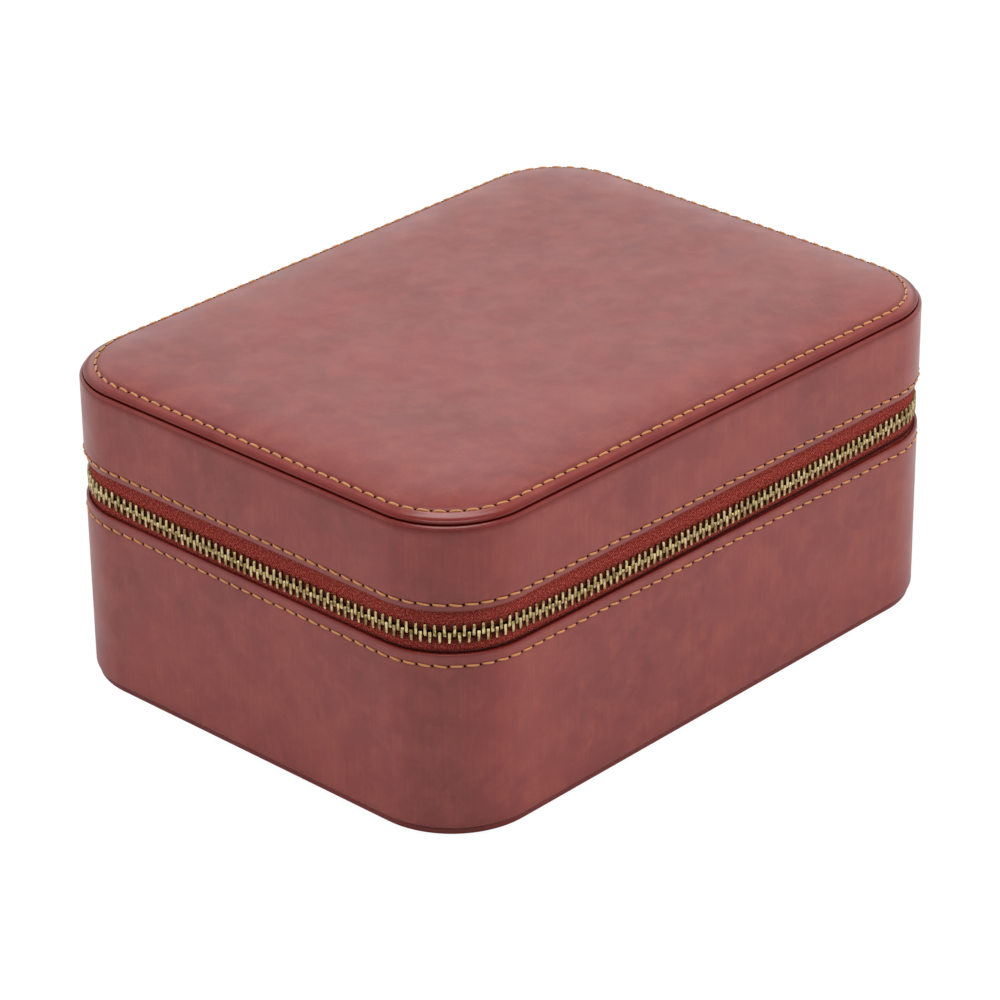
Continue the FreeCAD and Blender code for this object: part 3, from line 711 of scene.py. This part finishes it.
def slab(node, curve):
    # a flat rounded plate with softened rims, closed by a fan above and below
    nodeLow, nodeHigh = span(node)
    low, high = nodeLow[2], nodeHigh[2]
    inset = caseShape["halfLength"] - nodeHigh[0]
    outer, rays = casePath()
    bend = np.linspace(0, math.pi / 2, 5)
    across, upward = curve * (1 - np.sin(bend)), curve * (1 - np.cos(bend))
    insets = inset + np.concatenate([[20.0], across, upward, [20.0]])
    levels = np.concatenate([[low], low + upward, high - across, [high]])
    grid = np.stack([raised(outer - rays * reach, level) for reach, level in zip(insets, levels)])
    height = grid[..., 2]
    # painted shade where its top meets the wall, burnished along its lower edge
    return gridMesh(pieceName(node), grid, True,
                    crease=bump(height - high, 0.55), rim=bump(height - low - 0.6, 0.9))


dress(slab("base_panel_leather", 0.6), leather, "base", "base_panel_leather")
print("stage: panels made")


# Stitches

stitchLook = {
    "pitch": 4.07,
    "length": 3.5,
    "thickness": 0.6,
    "slant": -6.0,            # degrees off the row
    "lift": 0.12,             # how proud the middle stands
    "sink": 0.34,             # how far the ends go in
    "slantSpread": 2.0,       # how much the slants differ, in degrees
    "lengthSpread": 0.03,     # how much the lengths differ, as a share
    "rings": 7,
    "sides": 7,
    "hole": 0.42,             # radius of a needle hole
}


def alongPath(points, share):
    # places a stitch's pitch apart on a closed path, with the heading at each;
    # share is how much of a pitch the first one is from the path's start
    looped = np.concatenate([points, points[:1]])
    stops = stopsOf(looped)
    count = int(round(stops[-1] / stitchLook["pitch"]))
    spots = (share + np.arange(count)) * stops[-1] / count
    place, ahead = (placesAt(looped, stops, at % stops[-1]) for at in (spots, spots + 0.5))
    return place, unit(ahead - place)


def stitches(name, place, heading, level, outwards, body):
    # Each stitch is a thread bowed over the leather: its middle stands proud
    # and its ends dive into the holes. outwards is the surface's normal there.
    look = stitchLook
    count = len(place)
    t = np.linspace(-1, 1, look["rings"])
    girth = look["thickness"] / 2 * np.sqrt(np.clip(1 - 0.75 * np.abs(t) ** 4, 0.1, 1))
    slant = np.radians(look["slant"] + rng.normal(0, look["slantSpread"], count))[:, None]
    size = 1 + rng.normal(0, look["lengthSpread"], count)
    bow = look["lift"] - look["sink"] * t ** 4
    ahead = raised(heading, 0)
    run = ahead * np.cos(slant) + np.cross(outwards, ahead) * np.sin(slant)
    reach = (t * look["length"] / 2)[:, None] * size[:, None, None]
    centre = raised(place, level)[:, None] + run[:, None] * reach + outwards[:, None] * bow[:, None]
    turn = oblong(look["sides"])
    hoop = np.cross(outwards, run)[:, None] * turn[:, :1] + outwards[:, None] * turn[:, 1:]
    piece = copies(name, centre[:, :, None] + hoop[:, None] * girth[:, None, None])
    angle = np.linspace(0, 2 * math.pi, look["sides"], endpoint=False)
    twist = np.stack(np.meshgrid(t * 4, angle / 2, indexing="ij"), -1)
    addMap(piece, np.tile(twist.reshape(-1, 2), (count, 1)))
    return dress(piece, thread, body)


def needleHoles(name, place, heading, level, outwards, body):
    # painted shade in the needle holes between the stitches, each a flat eight-sided lens
    ahead = raised(heading, 0)
    turn = oblong(8) * (0.9, 1.1) * stitchLook["hole"]
    disc = ahead[:, None] * turn[:, :1] + np.cross(outwards, ahead)[:, None] * turn[:, 1:]
    middle = raised(place, level)[:, None]
    low = middle + disc - outwards[:, None] * 0.1
    top = middle + disc * 0.75 + outwards[:, None] * 0.07
    return dress(copies(name, np.stack([low, top], 1), False), holeShade, body)


def sewnRow(stem, points, level, body, seams=None):
    # A row of stitches with the painted shade of a needle hole in each space
    # between. seams are the grooves of the wall that it is sewn on, where the
    # base's row also follows the lip's sway; without them it lies on the panel.
    for kind, make, share in (("Stitches", stitches, 0.0), ("Holes", needleHoles, 0.5)):
        place, heading = alongPath(points, share)
        outwards = np.tile([0.0, 0.0, 1.0], (len(place), 1))
        levels = np.full(len(place), level)
        if seams:
            outwards = raised(rightOf(heading), 0)
            spots = raised(place, level)
            place = place + outwards[:, :2] * swell(spots, wallParts["wave"], seams)[:, None]
            if body == "base":
                levels += sway(spots) * eased(1 - wallParts["seamBelowLip"] / lipSway["reach"])
        make(stem + kind, place, heading, levels, outwards, body)


sewnRow("baseSeam", casePath()[0], baseSeam, "base", baseGroove)
sewnRow("lidSeam", casePath()[0], lidSeam, "lid", lidGroove)
sewnRow("panelSeam", casePath(padPanel["seamInset"], padPanel["seamRadius"])[0],
        panelHigh[2] - padPanel["rise"] - padPanel["seamDip"], "lid")
print("stage: seams sewn")


# The zip

zipLook = {
    "pitch": 2.37,
    "middle": 1.6,            # inset of the tape's middle
    "start": spineHigh[0] + 0.5,
    "margin": 5.17,           # bare tape and end stop at each end
    "toothWidth": 0.98,
    "toothDepth": 2.1,
    "tilt": 0.03,             # how much the teeth lean, in radians
    "reach": 0.65,            # the head, past the middle of the zip
    "jaw": 2.65,              # the jaw, back towards the tape's hem
    "sagFront": 1.0,          # how far the chain hangs along the front
    "sagLeft": 0.6,
    "sagBack": 0.6,
    "cornerLift": 0.2,
    "bow": 0.9,               # how far it swells out midway along a side
    "spread": 1.6,            # how far the rows part between the sliders
    "spreadHold": 3.5,
    "spreadRun": 5.0,
}
longStraight = caseShape["halfLength"] - caseShape["cornerRadius"]
shortStraight = caseShape["halfDepth"] - caseShape["cornerRadius"]


def zipPath():
    # the zip's line as a dense open run: from the back by the spine, clockwise
    # round the right end, the front and the left end, back to the spine
    points = casePath(zipLook["middle"])[0]
    start = int(np.argmin(np.abs(points[:, 0]) + (points[:, 1] < 0) * 1e6))
    points = np.roll(points, -start, 0)[::-1]
    share = np.linspace(0, 1, 8, endpoint=False)[:, None]
    fine = np.concatenate([a + (b - a) * share for a, b in zip(points[:-1], points[1:])])
    fine = fine[(fine[:, 1] <= 0) | (np.abs(fine[:, 0]) >= zipLook["start"])]
    first, last = [[zipLook["start"], fine[0, 1]]], [[-zipLook["start"], fine[-1, 1]]]
    return np.concatenate([first, fine, last])


zipRun = zipPath()
zipStops = stopsOf(zipRun)


def bowOut(place):
    # how far the zip swells out: bow * (1 - (s / side)^2)^2 along each side,
    # save the end where the sliders meet
    onLong = np.abs(place[:, 0]) < longStraight
    onShort = (np.abs(place[:, 1]) < shortStraight) & (place[:, 0] < 0)
    share = np.where(onLong, place[:, 0] / longStraight,
                     np.where(onShort, place[:, 1] / shortStraight, 1))
    return zipLook["bow"] * (1 - share ** 2) ** 2


def onZip(spots):
    # places at these distances on the zip's line, with the outward normals
    place, ahead, behind = (placesAt(zipRun, zipStops, spots + step) for step in (0, 0.4, -0.4))
    return place, rightOf(unit(behind - ahead))


def hang(place):
    # how far the chain hangs below its level, as a lift: sag * (1 - s^6) along a
    # side, s running from -1 to 1, less a little lift round the corners, and
    # nothing at the end where the sliders park
    look = zipLook
    level = np.zeros(len(place))
    x, y = place.T
    for side, along, sag in ((y < -shortStraight, x / longStraight, look["sagFront"]),
                             (y > shortStraight, x / longStraight, look["sagBack"]),
                             (x < -longStraight, y / shortStraight, look["sagLeft"])):
        drop = (sag + look["cornerLift"]) * (1 - np.clip(np.abs(along), 0, 1) ** 6)
        level = np.where(side, np.maximum(level, drop), level)
    return (look["cornerLift"] - level) * eased((longStraight + 8 - x) / 16)


def rowParting(place):
    # eases from nothing to the full spread towards the meeting sliders
    look = zipLook
    share = (np.abs(place[:, 1]) - look["spreadHold"]) / look["spreadRun"]
    onEnd = (place[:, 0] > caseShape["halfLength"] - 5) & (np.abs(place[:, 1]) < shortStraight)
    return np.where(onEnd, look["spread"] * (1 - eased(share)), 0)


def toothForm():
    # One tooth as rings up its height, each a rounded oblong: half width and
    # half depth follow the height, with a cupped, rounded head at the bottom
    # and a jaw that thins towards the tape.
    look = zipLook
    height = np.array([-1, -0.95, -0.7, 0.15, 1.15, 1.85, 3.5, 3.95, 4.08]) * look["reach"]
    height[height > 0] *= look["jaw"] / height[-1]
    width = np.array([0.5, 0.84, 1.0, 1.0, 0.9, 0.82, 0.82, 0.7, 0.4]) * look["toothWidth"] / 2
    depth = np.array([0.52, 0.81, 0.95, 1.0, 1.0, 1.0, 0.95, 0.81, 0.57]) * look["toothDepth"] / 2
    square = oblong(8, 0.45, math.pi / 8)
    flat = square / np.abs(square).max() * np.stack([width, depth], 1)[:, None]
    return np.concatenate([flat, np.repeat(height[:, None, None], 8, 1)], -1)


def toothRow(node, side, share, body):
    # copies the tooth along the zip, turned to face out, and upside down below
    look = zipLook
    count = int((zipStops[-1] - 2 * look["margin"]) / look["pitch"])
    lead = (zipStops[-1] - count * look["pitch"]) / 2
    place, out = onZip(lead + (np.arange(count) + share) * look["pitch"])
    place = place + out * bowOut(place)[:, None]
    across, depth, height = np.moveaxis(toothForm(), -1, 0)
    lean = height * np.tan(rng.normal(0, look["tilt"], count))[:, None, None]
    along = rightOf(out)
    middle = raised(place, zipLevel + side * rowParting(place) + hang(place))
    verts = np.repeat(middle[:, None, None], len(height), 1) + np.zeros((8, 1))
    verts[..., :2] += (along[:, None, None] * (across + lean)[..., None]
                       + out[:, None, None] * depth[..., None])
    verts[..., 2] += side * height
    piece = copies(pieceName(node), verts)
    # painted shade: bright on the teeth's outer faces, dark towards their inner sides and in the
    # gaps between them
    gapShade = np.clip((0.9 - depth / np.abs(depth).max()) * 2, 0, 1)
    addValues(piece, "crease", np.tile(gapShade.ravel(), count))
    dress(piece, toothBrass, body, node)


toothRow("zip_teeth_lower", -1, 0.25, "base")
toothRow("zip_teeth_upper", 1, 0.75, "lid")

tapeForm = {
    "step": 1.5,              # from one section of the tape to the next
    "thickness": 0.6,         # more than a real tape's, so that it closes well
    "bead": 0.12,             # the corded edge adds this much on each side
    "beadWidth": 0.7,
    "belly": 0.25,
    "hemToLip": 5.4,          # the leather's lip shades the tape this far up
    "lipWidth": 0.85,
    "lipShade": (1.0, 0.15),  # for the lower and the upper tape
    "toothShade": 0.8,
    "toothWidth": 1.5,        # how far the teeth shade it from its edge
}


def tapeStrip(node, edgeUp, body):
    # The woven tape: a thin closed section carried along the zip, with a corded
    # bead on the edge that holds the teeth and a slight belly between hems.
    look = tapeForm
    low, high = (corner[2] for corner in span(node))
    tall = high - low
    length = np.linspace(0, zipStops[-1], int(zipStops[-1] / look["step"]))
    place, out = onZip(length)
    bow = bowOut(place)
    place = place + out * bow[:, None]
    rise = np.linspace(0, 1, 15)
    edge = rise if edgeUp else rise[::-1]
    half = look["thickness"] / 2 + look["bead"] * bump((1 - edge) * tall, look["beadWidth"])
    belly = look["belly"] * np.sin(np.pi * edge) ** 2
    proud = np.concatenate([belly + half, (belly - half)[::-1]])
    level = low + np.concatenate([rise, rise[::-1]]) * tall
    near = np.concatenate([edge, edge[::-1]])
    # the hem holds the tape in: only its toothed edge swells out in full
    proud = proud[:, None] - bow * (1 - near ** 3)[:, None]
    grid = np.empty((len(length), len(near), 3))
    grid[..., :2] = place[:, None] + out[:, None] * proud.T[..., None]
    sign = 1 if edgeUp else -1
    grid[..., 2] = (level - sign * near ** 4 * rowParting(place)[:, None]
                    + near ** 1.5 * hang(place)[:, None])
    # the leather's lip shades it, and the teeth shade the edge that holds them
    fromLip = np.abs(level - (low if edgeUp else high)) - look["hemToLip"]
    lipShade = bump(fromLip, look["lipWidth"]) * look["lipShade"][0 if edgeUp else 1]
    toothShade = look["toothShade"] * bump((1 - near) * tall, look["toothWidth"])
    shade = np.maximum(lipShade, toothShade)
    shape = gridMesh(pieceName(node), grid, True, crease=np.tile(shade, len(length)))
    addMap(shape, np.stack(np.meshgrid(length, level, indexing="ij"), -1))
    dress(shape, tapeCloth, body, node)


tapeStrip("zip_tape_lower", True, "base")
tapeStrip("zip_tape_upper", False, "lid")


def softened(node, material, body, width, segments=3):
    # a CAD piece with its doubles merged and its edges broken by a small bevel
    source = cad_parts[node]
    mesh = source.data.copy()
    mesh.transform(source.matrix_world)
    work = bmesh.new()
    work.from_mesh(mesh)
    bmesh.ops.remove_doubles(work, verts=work.verts, dist=0.00001)
    bmesh.ops.dissolve_limit(
        work, angle_limit=math.radians(1.0), verts=work.verts, edges=work.edges)
    work.to_mesh(mesh)
    work.free()
    piece = bpy.data.objects.new(pieceName(node), mesh)
    bpy.context.scene.collection.objects.link(piece)
    bevel = piece.modifiers.new("Edges", "BEVEL")
    bevel.width = width * mm
    bevel.segments = segments
    bevel.limit_method = "ANGLE"
    bevel.angle_limit = math.radians(40)
    mesh.polygons.foreach_set("use_smooth", np.zeros(len(mesh.polygons), bool))
    dress(piece, material, body, node)


for body, width in (("slider_front", 0.18), ("pull_front", 0.22),
                    ("slider_rear", 0.18), ("pull_rear", 0.22)):
    softened("zip_" + body, sliderBrass, body, width)
for level, body in (("lower", "base"), ("upper", "lid")):
    softened("zip_end_stops_" + level, toothBrass, body, 0.15, 2)
print("stage: zip made")


# The spine on the back: leather outside, suede inside

def spineStrip(node, material, lift):
    # an upright strip whose face bows by lift * (1 - (2v - 1)^2) over its height
    low, high = span(node)
    across = np.linspace(low[0], high[0], 50)
    rise = np.linspace(0, 1, 23)
    bow = lift * (1 - (2 * rise - 1) ** 2)
    level = low[2] + rise * (high[2] - low[2])
    grid = np.empty((len(across), 2 * len(rise), 3))
    grid[..., 0] = across[:, None]
    grid[..., 1] = np.concatenate([low[1] + bow, (high[1] + bow)[::-1]])
    grid[..., 2] = np.concatenate([level, level[::-1]])
    shape = gridMesh(pieceName(node), grid, True)
    shape.data.materials.append(material)
    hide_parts(node)
    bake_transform(shape)


spineStrip("hinge_spine", leather, 0.3)
spineStrip("hinge_lining", liningSuede, 0.0)
print("stage: spine made")


# Linings, tray and cushions inside

liningTurn = {
    "inset": 2.05,            # how near the turned edge comes to the wall's face
    "rise": 0.3,              # its height over the board's edge
    "thickness": 0.8,
}


def liningBand(node, body, upwards):
    # the suede on the inside of a wall, turned outwards over the board's edge
    low, high = span(node)
    boardLow, boardHigh = span(node.replace("lining", "board"))
    inset = caseShape["halfLength"] - high[0]
    inner = inset + liningTurn["thickness"]
    if upwards:
        under, far, mouth = boardHigh[2] + 0.02, low[2], 1
    else:
        under, far, mouth = boardLow[2] - 0.02, high[2], -1
    over = under + mouth * liningTurn["rise"]
    outline = densify(softLoop([
        (inset, far, 0.1), (inset, under, 0.1), (liningTurn["inset"], under, 0.1),
        (liningTurn["inset"], over, 0.1), (inner, over, 0.5), (inner, far, 0.1),
    ], 4), 4.0)
    dress(caseBand(pieceName(node), outline), liningSuede, body, node)


liningBand("base_wall_lining", "base", True)
liningBand("lid_wall_lining", "lid", False)
for node, body in (("base_floor_lining", "base"), ("lid_ceiling_lining", "lid")):
    dress(slab(node, 0.3), liningSuede, body, node)
for node in ("long_divider", "cross_divider_left", "cross_divider_right"):
    softened(node, liningSuede, "base", 1.2, 4)

# the boards and the foam keep their own meshes
for node, material in (("base_wall_board", greyBoard), ("base_floor_board", greyBoard),
                       ("lid_wall_board", greyBoard), ("lid_panel_board", greyBoard),
                       ("lid_panel_foam", paddingFoam)):
    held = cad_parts[node]
    held.data.materials.clear()
    held.data.materials.append(material)

cushionLook = {
    "undersize": 1.5,         # cut this much smaller than its space
    "waist": 2.0,
    "crown": 6.0,
    "squareness": 0.5,        # of the plan, 1 being a circle
    "voxel": 2.2,
    "pressure": 4.0,
    "frames": 20,
    "cap": 2.0,               # furthest that a point may move
    "pucker": 0.3,
    "weltAt": (5.0, 7.0),     # sewn edges, in from the bottom and the top
    "weltThick": 0.9,
    "weltSink": 0.1,          # how far the welt sinks into the cushion
}


def cushionCut(half):
    # The cut form: rings of a rounded oblong up its height, drawn in at the
    # waist by waist * sin^2 and rounded over at both ends by a quarter ellipse.
    look = cushionLook
    half = half - look["undersize"]
    plan = oblong(96, look["squareness"])
    t = np.linspace(0, 1, 34)
    roll = np.minimum(np.minimum(t, 1 - t) * 2 * half[2] / look["crown"], 1)
    inset = (look["waist"] * np.sin(math.pi * t) ** 2
             + look["crown"] * (1 - np.sqrt(1 - (1 - roll) ** 2)))
    section = zip(half[:2] - inset[:, None], (2 * t - 1) * half[2])
    rings = [raised(plan * size, level) for size, level in section]
    return gridMesh("cushionCut", np.stack(rings), True)


def spotsOf(mesh):
    # a mesh's points in millimetres
    flat = np.empty(len(mesh.vertices) * 3, np.float32)
    mesh.vertices.foreach_get("co", flat)
    return flat.reshape(-1, 3).astype(float) / mm


def workedIn(piece):
    # the piece's mesh with its modifiers worked in, and none left on it
    graph = bpy.context.evaluated_depsgraph_get()
    mesh = bpy.data.meshes.new_from_object(piece.evaluated_get(graph))
    piece.modifiers.clear()
    piece.data = mesh
    return mesh


def blownUp(piece):
    # remeshes a closed form evenly and blows it up as cloth, without gravity
    look = cushionLook
    even = piece.modifiers.new("Even", "REMESH")
    even.mode = "VOXEL"
    even.voxel_size = look["voxel"] * mm
    before = spotsOf(workedIn(piece))
    cloth = piece.modifiers.new("Blown", "CLOTH")
    cloth.settings.use_pressure = True
    cloth.settings.uniform_pressure_force = look["pressure"]
    cloth.settings.effector_weights.gravity = 0
    cloth.point_cache.frame_start = 1
    cloth.point_cache.frame_end = look["frames"]
    for step in range(1, look["frames"] + 1):
        bpy.context.scene.frame_set(step)
    move = spotsOf(workedIn(piece)) - before
    bpy.context.scene.frame_set(1)
    length = np.linalg.norm(move, axis=1)
    print("stage: cushion blown up, furthest point", round(length.max(), 2), "mm")
    return before + move * np.minimum(1, look["cap"] / np.maximum(length, 0.001))[:, None]


def weltRing(mesh, centre, level, half):
    # a thin round welt lying on the cushion: where rays from outside, aimed at
    # its middle line, meet the skin at this height
    look = cushionLook
    cover = BVHTree.FromPolygons([tuple(vert.co) for vert in mesh.vertices],
                                 [tuple(face.vertices) for face in mesh.polygons])
    middle = Vector((*centre[:2], level)) * mm
    line = []
    for way in oblong(180, look["squareness"]):
        start = Vector((*(centre[:2] + way * half[:2] * 1.3), level)) * mm
        line.append(np.array(cover.ray_cast(start, (middle - start).normalized())[0]) / mm)
    line = np.array(line)
    outward = raised(rightOf(unit(np.roll(line, -1, 0) - np.roll(line, 1, 0))), 0)
    turn = oblong(8)
    ring = outward[:, None] * turn[:, :1] + np.array([0, 0, 1.0]) * turn[:, 1:]
    return line[:, None] - look["weltSink"] * outward[:, None] + ring * look["weltThick"] / 2


firstLow, firstHigh = span("watch_cushion_1")
cushionHalf = (firstHigh - firstLow) / 2
cut = cushionCut(cushionHalf)
blown = blownUp(cut)
blown *= cushionHalf / np.abs(blown).max(0)
cutFaces = [tuple(face.vertices) for face in cut.data.polygons]
bpy.data.objects.remove(cut)


def cushionForm(number):
    # the blown form in its place, with its own puckers, and its two sewn welts
    look = cushionLook
    node, body = "watch_cushion_%d" % number, "cushion_%d" % number
    low, high = span(node)
    centre = (low + high) / 2
    spots = centre + blown
    spots = spots - unit(blown) * (look["pucker"] * np.abs(ripple(spots, 15, number)))[:, None]
    shape = newPiece(pieceName(node), spots, cutFaces)
    finer = shape.modifiers.new("Finer", "SUBSURF")
    finer.levels = finer.render_levels = 1
    workedIn(shape)
    dress(shape, cushionSuede, body, node)
    fromLow, fromHigh = look["weltAt"]
    for end, level in (("Low", low[2] + fromLow), ("High", high[2] - fromHigh)):
        ring = weltRing(shape.data, centre, level, cushionHalf)
        dress(gridMesh("cushionWelt%s%d" % (end, number), ring), cushionSuede, body)


for number in range(1, 7):
    cushionForm(number)

# the lid pad's section: (way in from its edge, share of its thickness)
lidPadSection = (
    (16.0, 0.0), (3.0, 0.0), (1.0, 0.04), (0.2, 0.15), (0.0, 0.32), (0.1, 0.5),
    (0.9, 0.68), (2.4, 0.82), (4.5, 0.9), (7.0, 0.95), (10.0, 0.98), (14.0, 1.0))


def lidPadForm():
    # the pad under the lid: a rounded plate that swells down in the middle
    low, high = span("lid_pad")
    inset = caseShape["halfLength"] - high[0]
    outer, rays = casePath()
    thick = high[2] - low[2]
    rings = [raised(outer - rays * (inset + inward), high[2] - thick * drop)
             for inward, drop in lidPadSection]
    rings += [rings[-1] * (1 - share, 1 - share, 1) for share in (0.2, 0.4, 0.6, 0.8, 0.95)]
    grid = np.stack(rings)
    below = np.clip((high[2] - grid[..., 2]) / thick - 0.5, 0, 0.5) * 2
    grid[..., 2] += 0.3 * below * (ripple(grid, 30, 21) + 0.5)
    shape = dress(gridMesh("lidPad", grid, True), cushionSuede, "lid", "lid_pad")


lidPadForm()
print("stage: inside made")


# Camera, floor and light

cameraSet = {
    "azimuth": -46.658,
    "elevation": 26.957,
    "roll": -0.653,
    "distance": 1128.3,
    "target": (-5.392, -1.722, 40.0),
    "focalPixels": 4150.6,        # on a frame 1000 pixels wide
}


def placeCamera():
    # back points from the target to the camera; the roll turns right and up
    look = cameraSet
    az, el, roll = (math.radians(look[key]) for key in ("azimuth", "elevation", "roll"))
    back = Vector((math.sin(az) * math.cos(el), -math.cos(az) * math.cos(el), math.sin(el)))
    level = Vector((math.cos(az), math.sin(az), 0))
    upright = back.cross(level)
    right = level * math.cos(roll) + upright * math.sin(roll)
    up = upright * math.cos(roll) - level * math.sin(roll)
    eye = Vector(look["target"]) + back * look["distance"]
    lens = bpy.data.cameras.new("photoCamera")
    lens.sensor_width = 36.0
    lens.lens = look["focalPixels"] / 1000 * lens.sensor_width
    lens.clip_start = 0.05
    camera = bpy.data.objects.new("photoCamera", lens)
    turn = Matrix((right, up, back)).transposed().to_4x4()
    camera.matrix_world = Matrix.Translation(eye * mm) @ turn
    bpy.context.scene.collection.objects.link(camera)
    bpy.context.scene.camera = camera


placeCamera()

floorLook = {
    "reach": 4.0,             # metres, as is all else here
    "below": 0.0002,
    "sheet": 0.62,
    "white": 1.06,
    "towardsBack": (0.73, 0.69, 0),
    "mirroredFrom": -0.1,     # where reflections begin to see it whiter
    "mirroredTo": 0.2,
    "mirrored": 0.25,
    "share": 0.9,             # of the camera's white, the rest keeping the shadow
}


def paleFloor():
    # a pale sheet that shows white to the camera and keeps a soft shadow
    look = floorLook
    reach = look["reach"]
    mesh = bpy.data.meshes.new("floor")
    corners = [(-reach, -reach, 0), (reach, -reach, 0), (reach, reach, 0), (-reach, reach, 0)]
    mesh.from_pydata(corners, [], [(0, 1, 2, 3)])
    floor = bpy.data.objects.new("floor", mesh)
    floor.location.z = -look["below"]
    bpy.context.scene.collection.objects.link(floor)
    material, tree, shader = newMaterial("paleStudioFloor")
    tree.nodes.remove(shader)
    rays = addNode(tree, "LightPath").outputs
    shadowed = addNode(tree, "BsdfDiffuse", {"Color": (*[look["sheet"]] * 3, 1)})
    white = addNode(tree, "Emission", {"Color": (1, 1, 1, 1), "Strength": look["white"]})
    # reflections see it whiter behind the case than in front
    where = addNode(tree, "TexCoord").outputs["Object"]
    back = addNode(tree, "VectorMath", {0: where, 1: look["towardsBack"]}, operation="DOT_PRODUCT")
    share = addNode(tree, "MapRange", {
        "Value": back.outputs["Value"], "From Min": look["mirroredFrom"],
        "From Max": look["mirroredTo"], "To Max": look["mirrored"]})
    mirrored = addNode(tree, "Math", {
        0: rays["Is Glossy Ray"], 1: rays["Is Transmission Ray"]}, operation="MAXIMUM")
    shown = addNode(tree, "Math", {0: mirrored, 1: share}, operation="MULTIPLY")
    seen = addNode(tree, "Math", {0: rays["Is Camera Ray"], 1: shown}, operation="MAXIMUM")
    mostly = addNode(tree, "Math", {0: seen, 1: look["share"]}, operation="MULTIPLY")
    mix = addNode(tree, "MixShader", {0: mostly, 1: shadowed, 2: white})
    connect(tree, tree.nodes["Material Output"], {"Surface": mix})
    mesh.materials.append(material)


paleFloor()

lightSet = {
    "world": 0.34,
    "dimFrom": 0.55,          # sines of the heights between which it dims
    "dimTo": 0.85,
    "overhead": 0.25,
    "aim": (0, 0, 0.04),
    "over": {"place": (-0.1, -0.1, 1.9), "size": 1.3, "power": 22.5, "mirrored": True},
    "left": {"place": (-1.4, 1.1, 0.7), "size": 1.2, "power": 18.0, "mirrored": False},
    "right": {"place": (1.1, -1.5, 0.7), "size": 1.2, "power": 27.0, "mirrored": False},
}


def lights():
    # a white world for the camera, dimmer as a light, and three softboxes
    world = bpy.data.worlds.new("studio")
    bpy.context.scene.world = world
    world.use_nodes = True
    tree = world.node_tree
    rays = addNode(tree, "LightPath").outputs
    seen = rays["Is Camera Ray"]
    for kind in ("Is Glossy Ray", "Is Transmission Ray"):
        seen = addNode(tree, "Math", {0: seen, 1: rays[kind]}, operation="MAXIMUM")
    # a white backdrop that dims overhead where only reflections see it
    way = addNode(tree, "SeparateXYZ", {0: addNode(tree, "TexCoord").outputs["Generated"]})
    dimmed = addNode(tree, "MapRange", {
        "Value": way.outputs[2], "From Min": lightSet["dimFrom"], "From Max": lightSet["dimTo"],
        "To Min": 1.0, "To Max": lightSet["overhead"]}, interpolation_type="SMOOTHSTEP")
    white = addNode(tree, "Math", {0: rays["Is Camera Ray"], 1: dimmed}, operation="MAXIMUM")
    level = addNode(tree, "MapRange", {"Value": seen, "To Min": lightSet["world"], "To Max": white})
    connect(tree, tree.nodes["Background"], {"Color": (1, 1, 1, 1), "Strength": level})
    for name in ("over", "left", "right"):
        look = lightSet[name]
        lamp = bpy.data.lights.new(name + "Softbox", "AREA")
        lamp.size = look["size"]
        lamp.energy = look["power"]
        holder = bpy.data.objects.new(name + "Softbox", lamp)
        holder.location = look["place"]
        way = Vector(lightSet["aim"]) - holder.location
        holder.rotation_euler = way.to_track_quat("-Z", "Y").to_euler()
        holder.visible_glossy = look["mirrored"]
        bpy.context.scene.collection.objects.link(holder)


lights()
bpy.context.scene.view_settings.view_transform = "Standard"
print("stage: studio set")
